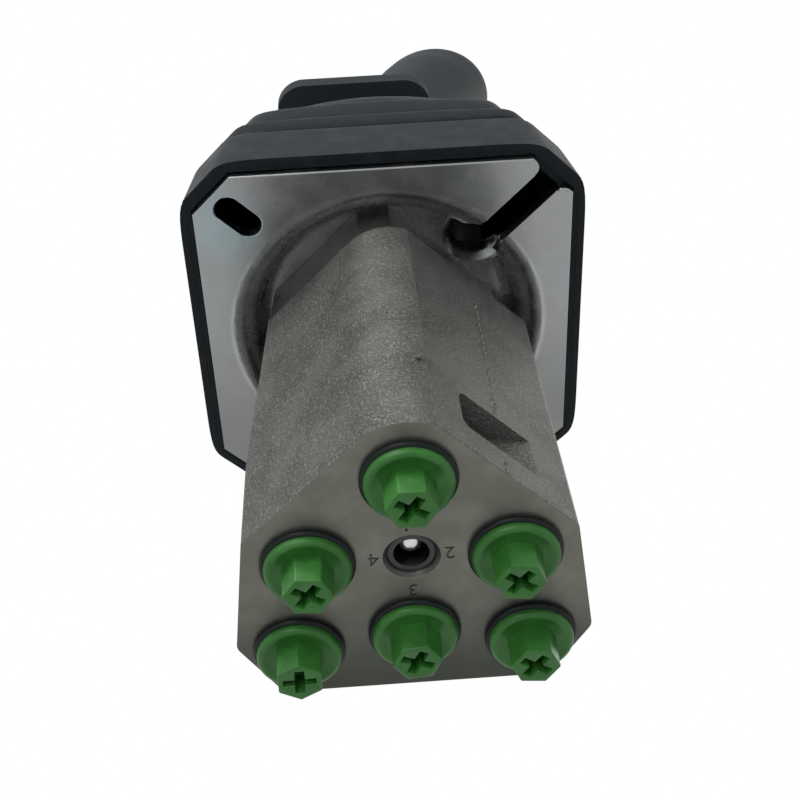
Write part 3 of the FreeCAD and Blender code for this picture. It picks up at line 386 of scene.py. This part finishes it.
def cast_iron():
    """Sand-cast iron with bright grains; the port face is milled smooth and has painted shade."""
    paint = Paint("cast_iron")
    depth = paint.axis("Z") * -1
    centre = (paint.distance_from_axis() * -1).between(-13.2 * MM, -12.8 * MM)
    face = depth.between(84.6 * MM, 84.68 * MM)
    sunk = centre * (1 - face)
    milled = face + sunk
    grain = paint.noise(0.62 * MM, detail=5, roughness=0.72)
    grit = paint.cells(0.45 * MM)
    patches = paint.noise(11 * MM, detail=3)
    cast_tone = paint.mix(patches.between(0.35, 0.65),
                          (0.076, 0.077, 0.071, 1), (0.106, 0.107, 0.099, 1))
    cast_tone = paint.mix(grain.between(0.5, 0.68), cast_tone, (0.22, 0.22, 0.205, 1))
    stain = paint.noise(9 * MM, detail=4, roughness=0.6)
    milled_tone = paint.mix(stain.between(0.35, 0.7),
                            (0.128, 0.131, 0.109, 1), (0.160, 0.163, 0.138, 1))
    # painted shade: the milled port face is painted darker towards +Y, away from the lamps
    far_painted_shade = paint.axis("Y").between(4 * MM, 40 * MM)
    milled_tone = paint.mix(far_painted_shade * 0.85, milled_tone, (0.035, 0.040, 0.032, 1))
    # painted shade and dirt: the engraved numbers and the sunk faces round the centre bore are
    # painted darker
    milled_tone = paint.mix(sunk, milled_tone, (0.065, 0.065, 0.06, 1))
    colour = paint.mix(milled, cast_tone, milled_tone)
    skin = paint.bump(grain * 0.7 + grit * 0.3, 0.38 * MM * (1 - milled))
    lines = paint.noise(0.35 * MM, detail=2, stretch=(0.06, 1, 1))
    skin = paint.bump(lines, 0.004 * MM * milled, skin)
    roughness = 0.42 + (grain - 0.5) * 0.3 - milled * 0.02
    return paint.finish(base_color=colour, metallic=0.7, roughness=roughness, normal=skin,
                        specular_tint=(0.5, 0.5, 0.47, 1))


def zinc_plate():
    """Bright zinc on pressed steel, with a faint blue and straw tint, and painted reflections
    across it and in its dish.
    """
    paint = Paint("zinc_plate")
    # painted reflection: the plate is painted brighter at the front (-Y) and darker towards the
    # rear
    rear_painted_reflection = paint.axis("Y").between(-15 * MM, 35 * MM)
    colour = paint.mix(rear_painted_reflection, (0.28, 0.29, 0.29, 1), (0.185, 0.195, 0.19, 1))
    film = paint.noise(24 * MM, detail=2)
    colour = paint.mix(film.between(0.5, 0.72) * 0.3, colour, (0.29, 0.25, 0.27, 1))
    colour = paint.mix(film.between(0.48, 0.3) * 0.3, colour, (0.19, 0.25, 0.26, 1))
    # painted light: the dish is painted much brighter, standing in for the light it reflects
    dish_painted_light = paint.distance_from_axis().between(41 * MM, 38 * MM)
    colour = paint.mix(dish_painted_light * 0.8, colour, (0.62, 0.65, 0.65, 1))
    corner = ((paint.axis("X") + 38 * MM) ** 2 + (paint.axis("Y") + 33 * MM) ** 2) ** 0.5
    colour = paint.mix(corner.between(13 * MM, 4 * MM) * 0.5, colour, (0.27, 0.37, 0.40, 1))
    scratches = paint.noise(0.4 * MM, detail=3, stretch=(0.05, 1, 1))
    roughness = 0.24 + paint.noise(6 * MM, detail=4).between(0.3, 0.8) * 0.08
    return paint.finish(base_color=colour, metallic=1.0, roughness=roughness,
                        normal=paint.bump(scratches, 0.002 * MM))


def green_plastic():
    """Slightly glossy moulded plastic."""
    paint = Paint("green_plastic")
    shade = paint.noise(5 * MM, detail=2)
    colour = paint.mix(shade.between(0.3, 0.7), (0.022, 0.105, 0.017, 1), (0.029, 0.135, 0.022, 1))
    skin = paint.bump(paint.noise(0.5 * MM, detail=3), 0.008 * MM)
    roughness = 0.34 + paint.noise(2.5 * MM, detail=3).between(0.3, 0.8) * 0.12
    return paint.finish(base_color=colour, roughness=roughness, normal=skin, ior=1.48,
                        specular_ior_level=0.28)


def black_rubber():
    """Matt rubber with a little dust."""
    paint = Paint("black_rubber")
    dust = paint.noise(7 * MM, detail=5, roughness=0.65)
    colour = paint.mix(dust.between(0.45, 0.8), (0.006, 0.009, 0.011, 1), (0.014, 0.018, 0.021, 1))
    skin = paint.bump(paint.noise(0.5 * MM, detail=4), 0.02 * MM)
    roughness = 0.42 + dust.between(0.3, 0.7) * 0.14
    return paint.finish(base_color=colour, roughness=roughness, normal=skin,
                        specular_ior_level=0.11)


def seal_rubber():
    """Oily black rubber."""
    paint = Paint("seal_rubber")
    sheen = paint.noise(2 * MM, detail=3)
    return paint.finish(base_color=(0.006, 0.009, 0.009, 1), roughness=0.3 + sheen * 0.2,
                        normal=paint.bump(sheen, 0.01 * MM), specular_ior_level=0.15)


def grip_plastic():
    """Dark plastic with a fine spark-eroded grain."""
    paint = Paint("grip_plastic")
    grain = paint.cells(0.5 * MM)
    tone = paint.noise(20 * MM, detail=2)
    colour = paint.mix(tone, (0.016, 0.020, 0.023, 1), (0.021, 0.026, 0.029, 1))
    return paint.finish(base_color=colour, roughness=0.6 + grain * 0.12,
                        normal=paint.bump(grain, 0.03 * MM), specular_ior_level=0.15)


def machined_steel(name, tone, roughness, warm=0.0):
    """Turned or ground steel with fine rings about the valve's axis."""
    paint = Paint(name)
    rings = paint.noise(0.3 * MM, detail=2, stretch=(1, 1, 4))
    cloud = paint.noise(8 * MM, detail=3)
    colour = paint.mix(cloud, grey(tone * 0.85, warm), grey(tone, warm))
    return paint.finish(base_color=colour, metallic=1.0, roughness=roughness + rings * 0.1,
                        normal=paint.bump(rings, 0.004 * MM))


def bright_ball():
    """Polished steel with a light haze."""
    paint = Paint("bright_ball")
    haze = paint.noise(1.5 * MM, detail=3)
    return paint.finish(base_color=grey(0.6), metallic=1.0, roughness=0.2 + haze * 0.08)


# Pieces

def number_cutter(label, height, place):
    """Solid figure that cuts into the port face and reads from below."""
    bpy.ops.object.select_all(action="DESELECT")
    bpy.ops.object.text_add()
    figure = bpy.context.active_object
    figure.data.body = label
    figure.data.size = height / FIGURE_SHARE
    figure.data.extrude = ENGRAVING
    figure.data.align_x = "CENTER"
    figure.data.align_y = "CENTER"
    bpy.ops.object.convert(target="MESH")
    edit(figure, "VERT", everything)
    close(figure)
    move(figure, turn=math.pi, axis="Y")
    move(figure, shift=(place[0], place[1], PORT_FACE))
    return figure


def lump(size, place, seed):
    """Small rough grain of iron left by the mould."""
    grain = added("lump", bpy.ops.mesh.primitive_ico_sphere_add, subdivisions=2, radius=1,
                  scale=size)
    edit(grain, "VERT", everything)
    bpy.ops.transform.vertex_random(offset=0.15 * min(size), seed=seed)
    close(grain)
    move(grain, shift=place)
    return grain


def port_face_outline(edge):
    """True for the sharp edges round the outside of the port face."""
    centres = [Vector((x, y)) for x, y, _turn in PLUG_PLACES.values()]
    return edge.calc_face_angle(0) > 0.5 and all(
        level(point, PORT_FACE) and point.co.xy.length > 15 * MM
        and min((point.co.xy - centre).length for centre in centres) > 9.6 * MM
        for point in edge.verts)


def across_bore(face):
    """True for a stray face across a control bore, level with the top of the shoulder."""
    return all(level(point, SHOULDER_TOP) for point in face.verts) and any(
        all((point.co.xy - bore).length < 6.1 * MM for point in face.verts)
        for bore in CONTROL_BORES)


def beyond(distance, angle, low, high):
    """Block that fills what lies beyond an upright plane, at a distance from the axis."""
    size = (40 * MM, 120 * MM, high - low)
    tool = block("beyond", size, (distance + size[0] / 2, 0, (low + high) / 2))
    move(tool, turn=angle)
    return tool


def shoulder(body):
    """The casting's outline carried on to just below the plate, with a soft upper edge."""
    raised = copied(body, "shoulder")
    edit(raised, "FACE", everything)
    bpy.ops.mesh.bisect(plane_co=(0, 0, SHOULDER_START), plane_no=(0, 0, 1), use_fill=True,
                        clear_outer=True)
    close(raised)
    edit(raised, "FACE", lambda face: any(
        not level(point, SHOULDER_START) for point in face.verts))
    bpy.ops.mesh.delete(type="FACE")
    edit(raised, "FACE", everything)
    rise = (0, 0, SHOULDER_TOP - SHOULDER_START)
    bpy.ops.mesh.extrude_region_move(TRANSFORM_OT_translate={"value": rise})
    close(raised)
    edit(raised, "EDGE", lambda edge: edge.calc_face_angle(0) > 1 and all(
        point.co.z > SHOULDER_START + 1 * MM and point.co.xy.length > 15 * MM
        and min((point.co.xy - bore).length for bore in CONTROL_BORES) > 7 * MM
        for point in edge.verts))
    bpy.ops.mesh.bevel(offset=SHOULDER_ROUND, segments=6)
    close(raised)
    return raised


def neck():
    """Round neck in the plate's dish, flat along each chamfer, clear of the control bores."""
    low, high = NECK_LOW - CLEAR, NECK_TOP + CLEAR
    ring = drum("neck", 30.2 * MM, NECK_LOW, NECK_TOP, sides=128)
    combined(ring, drum("inside", 28.3 * MM, low, high, sides=128), "DIFFERENCE")
    combined(ring, beyond(25.4 * MM, LEFT_CHAMFER, low, high), "DIFFERENCE")
    combined(ring, beyond(22.3 * MM, RIGHT_CHAMFER, low, high), "DIFFERENCE")
    wall = block("wall", (2.6 * MM, 32.4 * MM, NECK_TOP - NECK_LOW),
                 (24.1 * MM, 0, (NECK_LOW + NECK_TOP) / 2))
    move(wall, turn=LEFT_CHAMFER)
    combined(ring, wall, "UNION")
    return ring


def parting_grains():
    """One stray grain on the nose, and a line of them where the halves of the mould met."""
    grains = [lump((0.7 * MM, 0.5 * MM, 0.8 * MM), (4.1 * MM, -35.9 * MM, -62.5 * MM), 1)]
    for step in range(PARTING_GRAINS):
        z = PARTING_LOW + step * PARTING_STEP
        if RECESS_LOW < z < RECESS_TOP:
            continue
        half = (0.85 + 0.3 * math.sin(5 * step)) * MM
        x = (20.3 + 0.12 * math.sin(3 * step)) * MM
        y = x - 41.1 * MM + CHAMFER_DRAFT * (z - PORT_FACE)
        grains.append(lump((0.3 * MM, 0.3 * MM, half), (x, y, z), step))
    return joined(grains, "grains")


def casting():
    """The valve body with its shoulder, neck, port numbers and parting line."""
    body = cad_copy("valve_body", "iron_casting")
    combined(body, shoulder(body), "UNION")
    combined(body, neck(), "UNION")
    relief = block("relief", (22 * MM, 33 * MM, 12 * MM), (33.3 * MM, 1 * MM, -2.2 * MM))
    move(relief, turn=RIGHT_CHAMFER)
    combined(body, relief, "DIFFERENCE")
    wedge = block("wedge", (12 * MM, 120 * MM, 90 * MM), (-6 * MM, 0, 45 * MM))
    move(wedge, turn=LEFT_DRAFT, axis="Y")
    move(wedge, shift=(-35.55 * MM, 0, -61 * MM))
    move(wedge, turn=LEFT_SPLAY)
    combined(body, wedge, "DIFFERENCE")
    for label, (x, y, height) in NUMBERS.items():
        combined(body, number_cutter(label, height * MM, (x * MM, y * MM)), "DIFFERENCE")
    combined(body, parting_grains(), "UNION")
    edit(body, "EDGE", port_face_outline)
    bpy.ops.mesh.bevel(offset=BROKEN_EDGE, segments=2)
    close(body)
    edit(body, "FACE", across_bore)
    bpy.ops.mesh.delete(type="FACE")
    flattened(body, SHOULDER_TOP - 3.5 * MM)
    turned_out(body)
    smooth_curves(body, 16)
    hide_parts("valve_body")
    return body


def plate():
    """The mounting plate with its outer edge broken, so that it catches the light."""
    sheet = cad_copy("mounting_plate", "zinc_plate")
    low = min(point.co.z for point in sheet.data.vertices)
    edit(sheet, "EDGE", lambda edge: edge.calc_face_angle(0) > 1 and all(
        level(point, low) and point.co.xy.length > 42 * MM for point in edge.verts))
    bpy.ops.mesh.bevel(offset=BROKEN_EDGE, segments=2)
    close(sheet)
    flattened(sheet)
    smooth_curves(sheet, 24)
    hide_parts("mounting_plate")
    return sheet


def port_plug():
    """Transport plug about the origin, its port face at height 0 and its hexagon below."""
    plug = drum("plug", FLANGE_RADIUS, FLANGE_LOW, FLANGE_TOP, sides=96)
    edit(plug, "FACE", facing((0, 0, -1)))
    for inset, sink in ((1.35, 0), (0.4, 0.2), (1.0, 0.35), (0.9, 0.1)):
        bpy.ops.mesh.inset(thickness=inset * MM)
        bpy.ops.transform.translate(value=(0, 0, sink * MM))
    close(plug)
    edit(plug, "EDGE", lambda edge: all(
        level(point, FLANGE_LOW) and point.co.xy.length > 9 * MM for point in edge.verts))
    bpy.ops.mesh.bevel(offset=1.2 * MM, segments=6)
    close(plug)
    combined(plug, drum("shank", SHANK_RADIUS, SHANK_LOW, 9 * MM, sides=96), "UNION")
    hexagon = drum("hexagon", HEXAGON_FLAT / math.cos(math.pi / 6), HEXAGON_LOW, SHANK_LOW,
                   sides=6, turn=math.radians(30))
    edit(hexagon, "FACE", facing((0, 0, -1)))
    bpy.ops.transform.resize(value=(0.975, 0.975, 1))
    close(hexagon)
    modified(hexagon, "BEVEL", width=BROKEN_EDGE, segments=3, limit_method="ANGLE",
             angle_limit=math.radians(25), harden_normals=False)
    for turn in (30, 120):
        size = (7.6 * MM, 2.1 * MM, 10 * MM)
        arm = block("arm", size, (0, 0, HEXAGON_LOW), turn=math.radians(turn))
        edit(arm, "FACE", facing((0, 0, 1)))
        bpy.ops.transform.resize(value=(0.93, 0.8, 1))
        close(arm)
        combined(hexagon, arm, "DIFFERENCE")
    edit(hexagon, "EDGE", lambda edge: edge.calc_face_angle(0) > 1 and all(
        level(point, HEXAGON_LOW) for point in edge.verts))
    bpy.ops.mesh.bevel(offset=BROKEN_EDGE, segments=3)
    close(hexagon)
    combined(plug, hexagon, "UNION")
    smooth(plug, 40)
    return plug


def port_plugs():
    """The six transport plugs, each turned as it was screwed in."""
    pattern = port_plug()
    plugs = []
    for port, (x, y, turn) in PLUG_PLACES.items():
        plug = copied(pattern, f"transport_plug_{port}")
        move(plug, turn=math.radians(turn))
        move(plug, shift=(x, y, PORT_FACE))
        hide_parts(f"port_plug_{port}")
        plugs.append(plug)
    bpy.data.objects.remove(pattern)
    return plugs


def seal_rings():
    """The six seal rings, pressed a little flat between the flanges and the port face."""
    rings = []
    for x, y, _turn in PLUG_PLACES.values():
        ring = added("ring", bpy.ops.mesh.primitive_torus_add, major_radius=SEAL_RADIUS,
                     minor_radius=SEAL_HALF_WIDTH, major_segments=96, minor_segments=20)
        edit(ring, "VERT", everything)
        bpy.ops.transform.resize(value=(1, 1, SEAL_HALF_HEIGHT / SEAL_HALF_WIDTH))
        close(ring)
        move(ring, shift=(x, y, PORT_FACE - SEAL_HALF_HEIGHT))
        rings.append(ring)
    seals = joined(rings, "port_seal_rings")
    smooth(seals, 60)
    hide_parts("plug_seals")
    return seals


def corner_ring(name, half, corner, z):
    """Open ring: a square with cut corners."""
    ring = added(name, bpy.ops.mesh.primitive_plane_add, size=2 * half, location=(0, 0, z))
    edit(ring, "VERT", everything)
    bpy.ops.mesh.bevel(offset=corner, affect="VERTICES", segments=4, profile=0.25)
    edit(ring, "FACE", everything)
    bpy.ops.mesh.delete(type="ONLY_FACE")
    edit(ring, "EDGE", lambda edge: edge.calc_length() > corner)
    bpy.ops.mesh.subdivide(number_cuts=5)
    edit(ring, "EDGE", everything)
    return ring


def draw_up(part, rise, half, roundness=0.0):
    """Extrude the selected ring by rise, and scale it until its sides are half from the axis."""
    bpy.ops.mesh.extrude_region_move(TRANSFORM_OT_translate={"value": (0, 0, rise)})
    if roundness:
        bpy.ops.transform.tosphere(value=roundness)
    mesh = bmesh.from_edit_mesh(part.data)
    now = max(point.co.x for point in mesh.verts if point.select)
    bpy.ops.transform.resize(value=(half / now, half / now, 1), center_override=(0, 0, 0))


def boot_pieces():
    """Rubber bellows in two pieces, below and above the universal joint's cross."""
    shell = corner_ring("boot_lower", 49.6 * MM, 11.5 * MM, 1.8 * MM)
    folds = [  # height, half width and roundness
        (1.8, 49.6, 0), (2.2, 49.6, 0), (10.0, 48.6, 0), (18.9, 47.5, 0), (20.0, 47.35, 0),
        (20.5, 46.9, 0), (20.8, 45.8, 0), (21.6, 42.6, 0), (23.0, 41.4, 0.02), (24.6, 42.3, 0),
        (25.8, 44.3, 0), (26.4, 44.9, 0), (30.4, 44.95, 0), (31.3, 44.9, 0.02), (31.8, 44.5, 0),
        (32.1, 43.4, 0), (32.9, 39.8, 0), (34.2, 38.4, 0.04), (36.0, 39.2, 0), (37.4, 40.8, 0),
        (38.2, 41.3, 0), (44.0, 41.3, 0.02), (46.2, 41.2, 0.04), (46.8, 40.8, 0), (47.1, 39.7, 0),
        (48.0, 36.0, 0), (49.6, 33.6, 0.02), (51.0, 32.8, 0.06), (53.0, 33.2, 0),
        (56.0, 35.0, 0), (61.0, 34.8, 0.15), (65.0, 33.6, 0.1), (67.4, 31.0, 0.15),
        (70.0, 26.0, 0.3), (72.2, 21.0, 0.5), (73.6, 18.4, 0.8), (74.6, 17.1, 1.0),
        (77.6, 17.1, 0),
    ]
    for (low, _half, _round), (high, half, roundness) in zip(folds, folds[1:]):
        draw_up(shell, (high - low) * MM, half * MM, roundness)
    close(shell)
    modified(shell, "SUBSURF", levels=2, render_levels=2, boundary_smooth="PRESERVE_CORNERS")
    modified(shell, "SOLIDIFY", thickness=BOOT_WALL, offset=-1, use_even_offset=True)

    foot = corner_ring("foot", 46.5 * MM, 9.8 * MM, 1.9 * MM)
    for rise, half in ((0, 48.5), (2.6, 48.4), (0, 44.8), (-1.5, 44.8), (0, 46.5), (-1.1, 46.5)):
        draw_up(foot, rise * MM, half * MM)
    close(foot)
    combined(shell, foot, "UNION")
    upper = copied(shell, "boot_upper")
    for part, inner, outer in ((shell, False, True), (upper, True, False)):
        edit(part, "FACE", everything)
        bpy.ops.mesh.bisect(plane_co=(0, 0, BOOT_SPLIT), plane_no=(0, 0, 1), use_fill=True,
                            clear_inner=inner, clear_outer=outer)
        close(part)
        smooth(part, 50)
    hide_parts("boot")
    return shell, upper


def along_lean(distance, z):
    """Point at a height in the upright plane in which the grip leans, a distance out."""
    return (distance * math.cos(HEADING), distance * math.sin(HEADING), z)


def grip_halves():
    """The grip, split down the plane of its lean with a fine joint line."""
    slope = math.tan(LEAN)
    sections = [  # height, half depth and half width
        (89.0, 14.6, 18.1), (90.2, 15.1, 18.6), (94.0, 15.5, 18.9), (103.0, 15.9, 19.1),
        (116.0, 16.5, 19.5), (128.0, 17.2, 19.9), (140.0, 18.2, 20.3), (150.3, 19.1, 20.7),
    ]
    for share in (-0.2, 0.1, 0.35, 0.58, 0.76, 0.89, 0.97):
        reach = HEAD_RADIUS * math.sqrt(1 - share * share)
        sections.append((HEAD_Z + HEAD_RADIUS * share, reach, 1.01 * reach))
    z, half_x, half_y = (value * MM for value in sections[0])
    place = along_lean((z - BEND_Z) * slope, z)
    grip = added("grip_half_left", bpy.ops.mesh.primitive_circle_add, vertices=40, radius=1,
                 fill_type="NOTHING")
    edit(grip, "EDGE", everything)
    bpy.ops.transform.resize(value=(half_x, half_y, 1), center_override=(0, 0, 0))
    bpy.ops.transform.translate(value=place)
    for section in sections[1:]:
        next_z, next_x, next_y = (value * MM for value in section)
        target = along_lean((next_z - BEND_Z) * slope, next_z)
        step = [b - a for a, b in zip(place, target)]
        bpy.ops.mesh.extrude_region_move(TRANSFORM_OT_translate={"value": step})
        bpy.ops.transform.resize(value=(next_x / half_x, next_y / half_y, 1),
                                 center_override=target)
        place, half_x, half_y = target, next_x, next_y
    bpy.ops.mesh.extrude_region_move(TRANSFORM_OT_translate={"value": (0, 0, 0.55 * MM)})
    bpy.ops.mesh.merge(type="CENTER")
    edit(grip, "VERT", lambda point: level(point, REST_TOP))
    bpy.ops.mesh.edge_face_add()
    bpy.ops.mesh.inset(thickness=0.5 * MM)
    close(grip)
    modified(grip, "SUBSURF", levels=2, render_levels=2)

    other = copied(grip, "grip_half_right")
    joint_normal = (math.sin(HEADING), -math.cos(HEADING), 0)
    for half, inner in ((grip, False), (other, True)):
        edit(half, "FACE", everything)
        bpy.ops.mesh.bisect(plane_co=(0, 0, 0), plane_no=joint_normal, use_fill=True,
                            clear_inner=inner, clear_outer=not inner)
        bpy.ops.mesh.select_mode(type="EDGE")
        bpy.ops.mesh.region_to_loop()
        bpy.ops.mesh.bevel(offset=BROKEN_EDGE, segments=2)
        close(half)
    for distance, z in ((17.1 * MM, 104 * MM), (3.38 * MM, 124 * MM), (68 * MM * slope, 156 * MM)):
        hole = drum("hole", 2.85 * MM, 7 * MM, 27 * MM, sides=48)
        move(hole, turn=-math.pi / 2, axis="X")
        move(hole, turn=HEADING)
        move(hole, shift=along_lean(distance, z))
        combined(grip, hole, "DIFFERENCE")
    for half in (grip, other):
        turned_out(half)
        smooth(half, 40)
    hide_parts("grip_shell_left")
    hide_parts("grip_shell_right")
    return grip, other


def coil(kind, number):
    """One spring: a merged copy of its node, smooth-shaded in spring steel, with its place baked
    into its mesh.
    """
    spring = cad_copy(f"{kind}_spring_{number}", f"{kind}_coil_{number}")
    bpy.ops.object.parent_clear(type="CLEAR_KEEP_TRANSFORM")
    smooth(spring, 40)
    dressed(spring, spring_steel)
    x, y, _turn = CONTROL_PORTS[number]
    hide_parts(f"{kind}_spring_{number}")
    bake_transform(spring)


# The object

iron = cast_iron()
zinc = zinc_plate()
green = green_plastic()
rubber = black_rubber()
seal_black = seal_rubber()
dark_plastic = grip_plastic()
ground_steel = machined_steel("ground_steel", 0.5, 0.26)
turned_steel = machined_steel("turned_steel", 0.4, 0.34, warm=0.02)
dull_steel = machined_steel("dull_steel", 0.055, 0.3)
spring_steel = machined_steel("spring_steel", 0.3, 0.3)
ball_steel = bright_ball()

CAD_FINISHES = {
    "sealing_ball": ball_steel, "expander_sleeve": dull_steel, "hand_rest": dark_plastic,
    "bush_seals": seal_black, "wiper_rings": seal_black, "grip_screws": turned_steel,
    "joint_base": turned_steel, "cross_spider": ground_steel, "top_fork": turned_steel,
    "cam_disc": ground_steel, "cam_lock_nut": turned_steel, "lever_coupling": turned_steel,
    "lever_rod": turned_steel, "rod_lock_nut": turned_steel,
}
for number in CONTROL_PORTS:
    CAD_FINISHES[f"guide_bush_{number}"] = turned_steel
    CAD_FINISHES[f"pusher_{number}"] = ground_steel
    CAD_FINISHES[f"spring_seat_{number}"] = turned_steel
    CAD_FINISHES[f"spool_{number}"] = ground_steel
for node, finish in CAD_FINISHES.items():
    dressed(frame["nodes"][node], finish)

zinc_sheet = plate()
dressed(zinc_sheet, zinc)
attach(zinc_sheet, "valve")

iron_body = casting()
dressed(iron_body, iron)
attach(iron_body, "valve")

for plug in port_plugs():
    dressed(plug, green)
    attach(plug, "valve")

seals = seal_rings()
dressed(seals, seal_black)
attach(seals, "valve")

for number in CONTROL_PORTS:
    coil("return", number)
    coil("metering", number)

boot_lower, boot_upper = boot_pieces()
for part in (boot_lower, boot_upper):
    dressed(part, rubber)
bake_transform(boot_lower)
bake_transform(boot_upper)

for half in grip_halves():
    dressed(half, dark_plastic)
    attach(half, "lever")


# Camera, light and floor

camera = bpy.data.objects.new("camera", bpy.data.cameras.new("camera"))
bpy.context.scene.collection.objects.link(camera)
camera.location = (-9.15 * MM, -215.59 * MM, -309.81 * MM)
camera.rotation_euler = [math.radians(angle) for angle in (142.4556, 3.5598, 1.9537)]
camera.data.lens = 66.166
camera.data.sensor_width = 36
camera.data.clip_start = 0.01
bpy.context.scene.camera = camera


def lamp(name, place, height, power, size):
    """Square lamp that looks at the part's axis at a height."""
    light = bpy.data.lights.new(name, "AREA")
    light.energy = power
    light.size = size
    holder = bpy.data.objects.new(name, light)
    bpy.context.scene.collection.objects.link(holder)
    holder.location = place
    look = Vector((0, 0, height)) - Vector(place)
    holder.rotation_euler = look.to_track_quat("-Z", "Y").to_euler()


lamp("key", (-0.34, -0.7, 0.22), -0.02, 5.0, 0.4)
lamp("front", (-0.25, -0.75, -0.4), -0.03, 2.8, 0.45)
lamp("rim", (0.5, 0.3, 0.5), 0.05, 0.9, 0.4)


def blended(tree, share, first, second, output):
    """Send one shader or the other to the output of a node tree, by share."""
    mix = tree.nodes.new("ShaderNodeMixShader")
    for socket, source in zip(mix.inputs, (share, first, second)):
        tree.links.new(source, socket)
    tree.links.new(mix.outputs[0], tree.nodes.new(output).inputs["Surface"])


def stage_floor():
    """Pale floor that is only seen from above and lets the light from below pass."""
    floor = added("floor", bpy.ops.mesh.primitive_plane_add, size=6,
                  location=(0, 0, PORT_FACE - 10.2 * MM))
    material = bpy.data.materials.new("floor")
    material.use_nodes = True
    tree = material.node_tree
    tree.nodes.clear()
    path = tree.nodes.new("ShaderNodeLightPath")
    side = tree.nodes.new("ShaderNodeNewGeometry")
    shown = tree.nodes.new("ShaderNodeMath")
    shown.operation = "SUBTRACT"
    shown.use_clamp = True
    tree.links.new(path.outputs["Is Camera Ray"], shown.inputs[0])
    tree.links.new(side.outputs["Backfacing"], shown.inputs[1])
    pale = tree.nodes.new("ShaderNodeBsdfDiffuse")
    pale.inputs["Color"].default_value = (0.8, 0.8, 0.8, 1)
    clear = tree.nodes.new("ShaderNodeBsdfTransparent")
    blended(tree, shown.outputs[0], clear.outputs[0], pale.outputs[0],
            "ShaderNodeOutputMaterial")
    floor.data.materials.append(material)


def white_world():
    """Soft even light, with plain white for what the camera sees directly or in a mirror."""
    world = bpy.data.worlds.new("studio")
    bpy.context.scene.world = world
    world.use_nodes = True
    tree = world.node_tree
    tree.nodes.clear()
    path = tree.nodes.new("ShaderNodeLightPath")
    lit, seen = (tree.nodes.new("ShaderNodeBackground") for _shader in range(2))
    lit.inputs["Color"].default_value = (0.93, 0.96, 1, 1)
    lit.inputs["Strength"].default_value = 0.6
    seen.inputs["Color"].default_value = (1, 1, 1, 1)
    seen.inputs["Strength"].default_value = 1.0
    direct = path.outputs["Is Camera Ray"]
    for kind in ("Is Glossy Ray", "Is Transmission Ray"):
        either = tree.nodes.new("ShaderNodeMath")
        either.operation = "MAXIMUM"
        tree.links.new(direct, either.inputs[0])
        tree.links.new(path.outputs[kind], either.inputs[1])
        direct = either.outputs[0]
    blended(tree, direct, lit.outputs[0], seen.outputs[0], "ShaderNodeOutputWorld")


stage_floor()
white_world()
bpy.context.scene.view_settings.view_transform = "Standard"
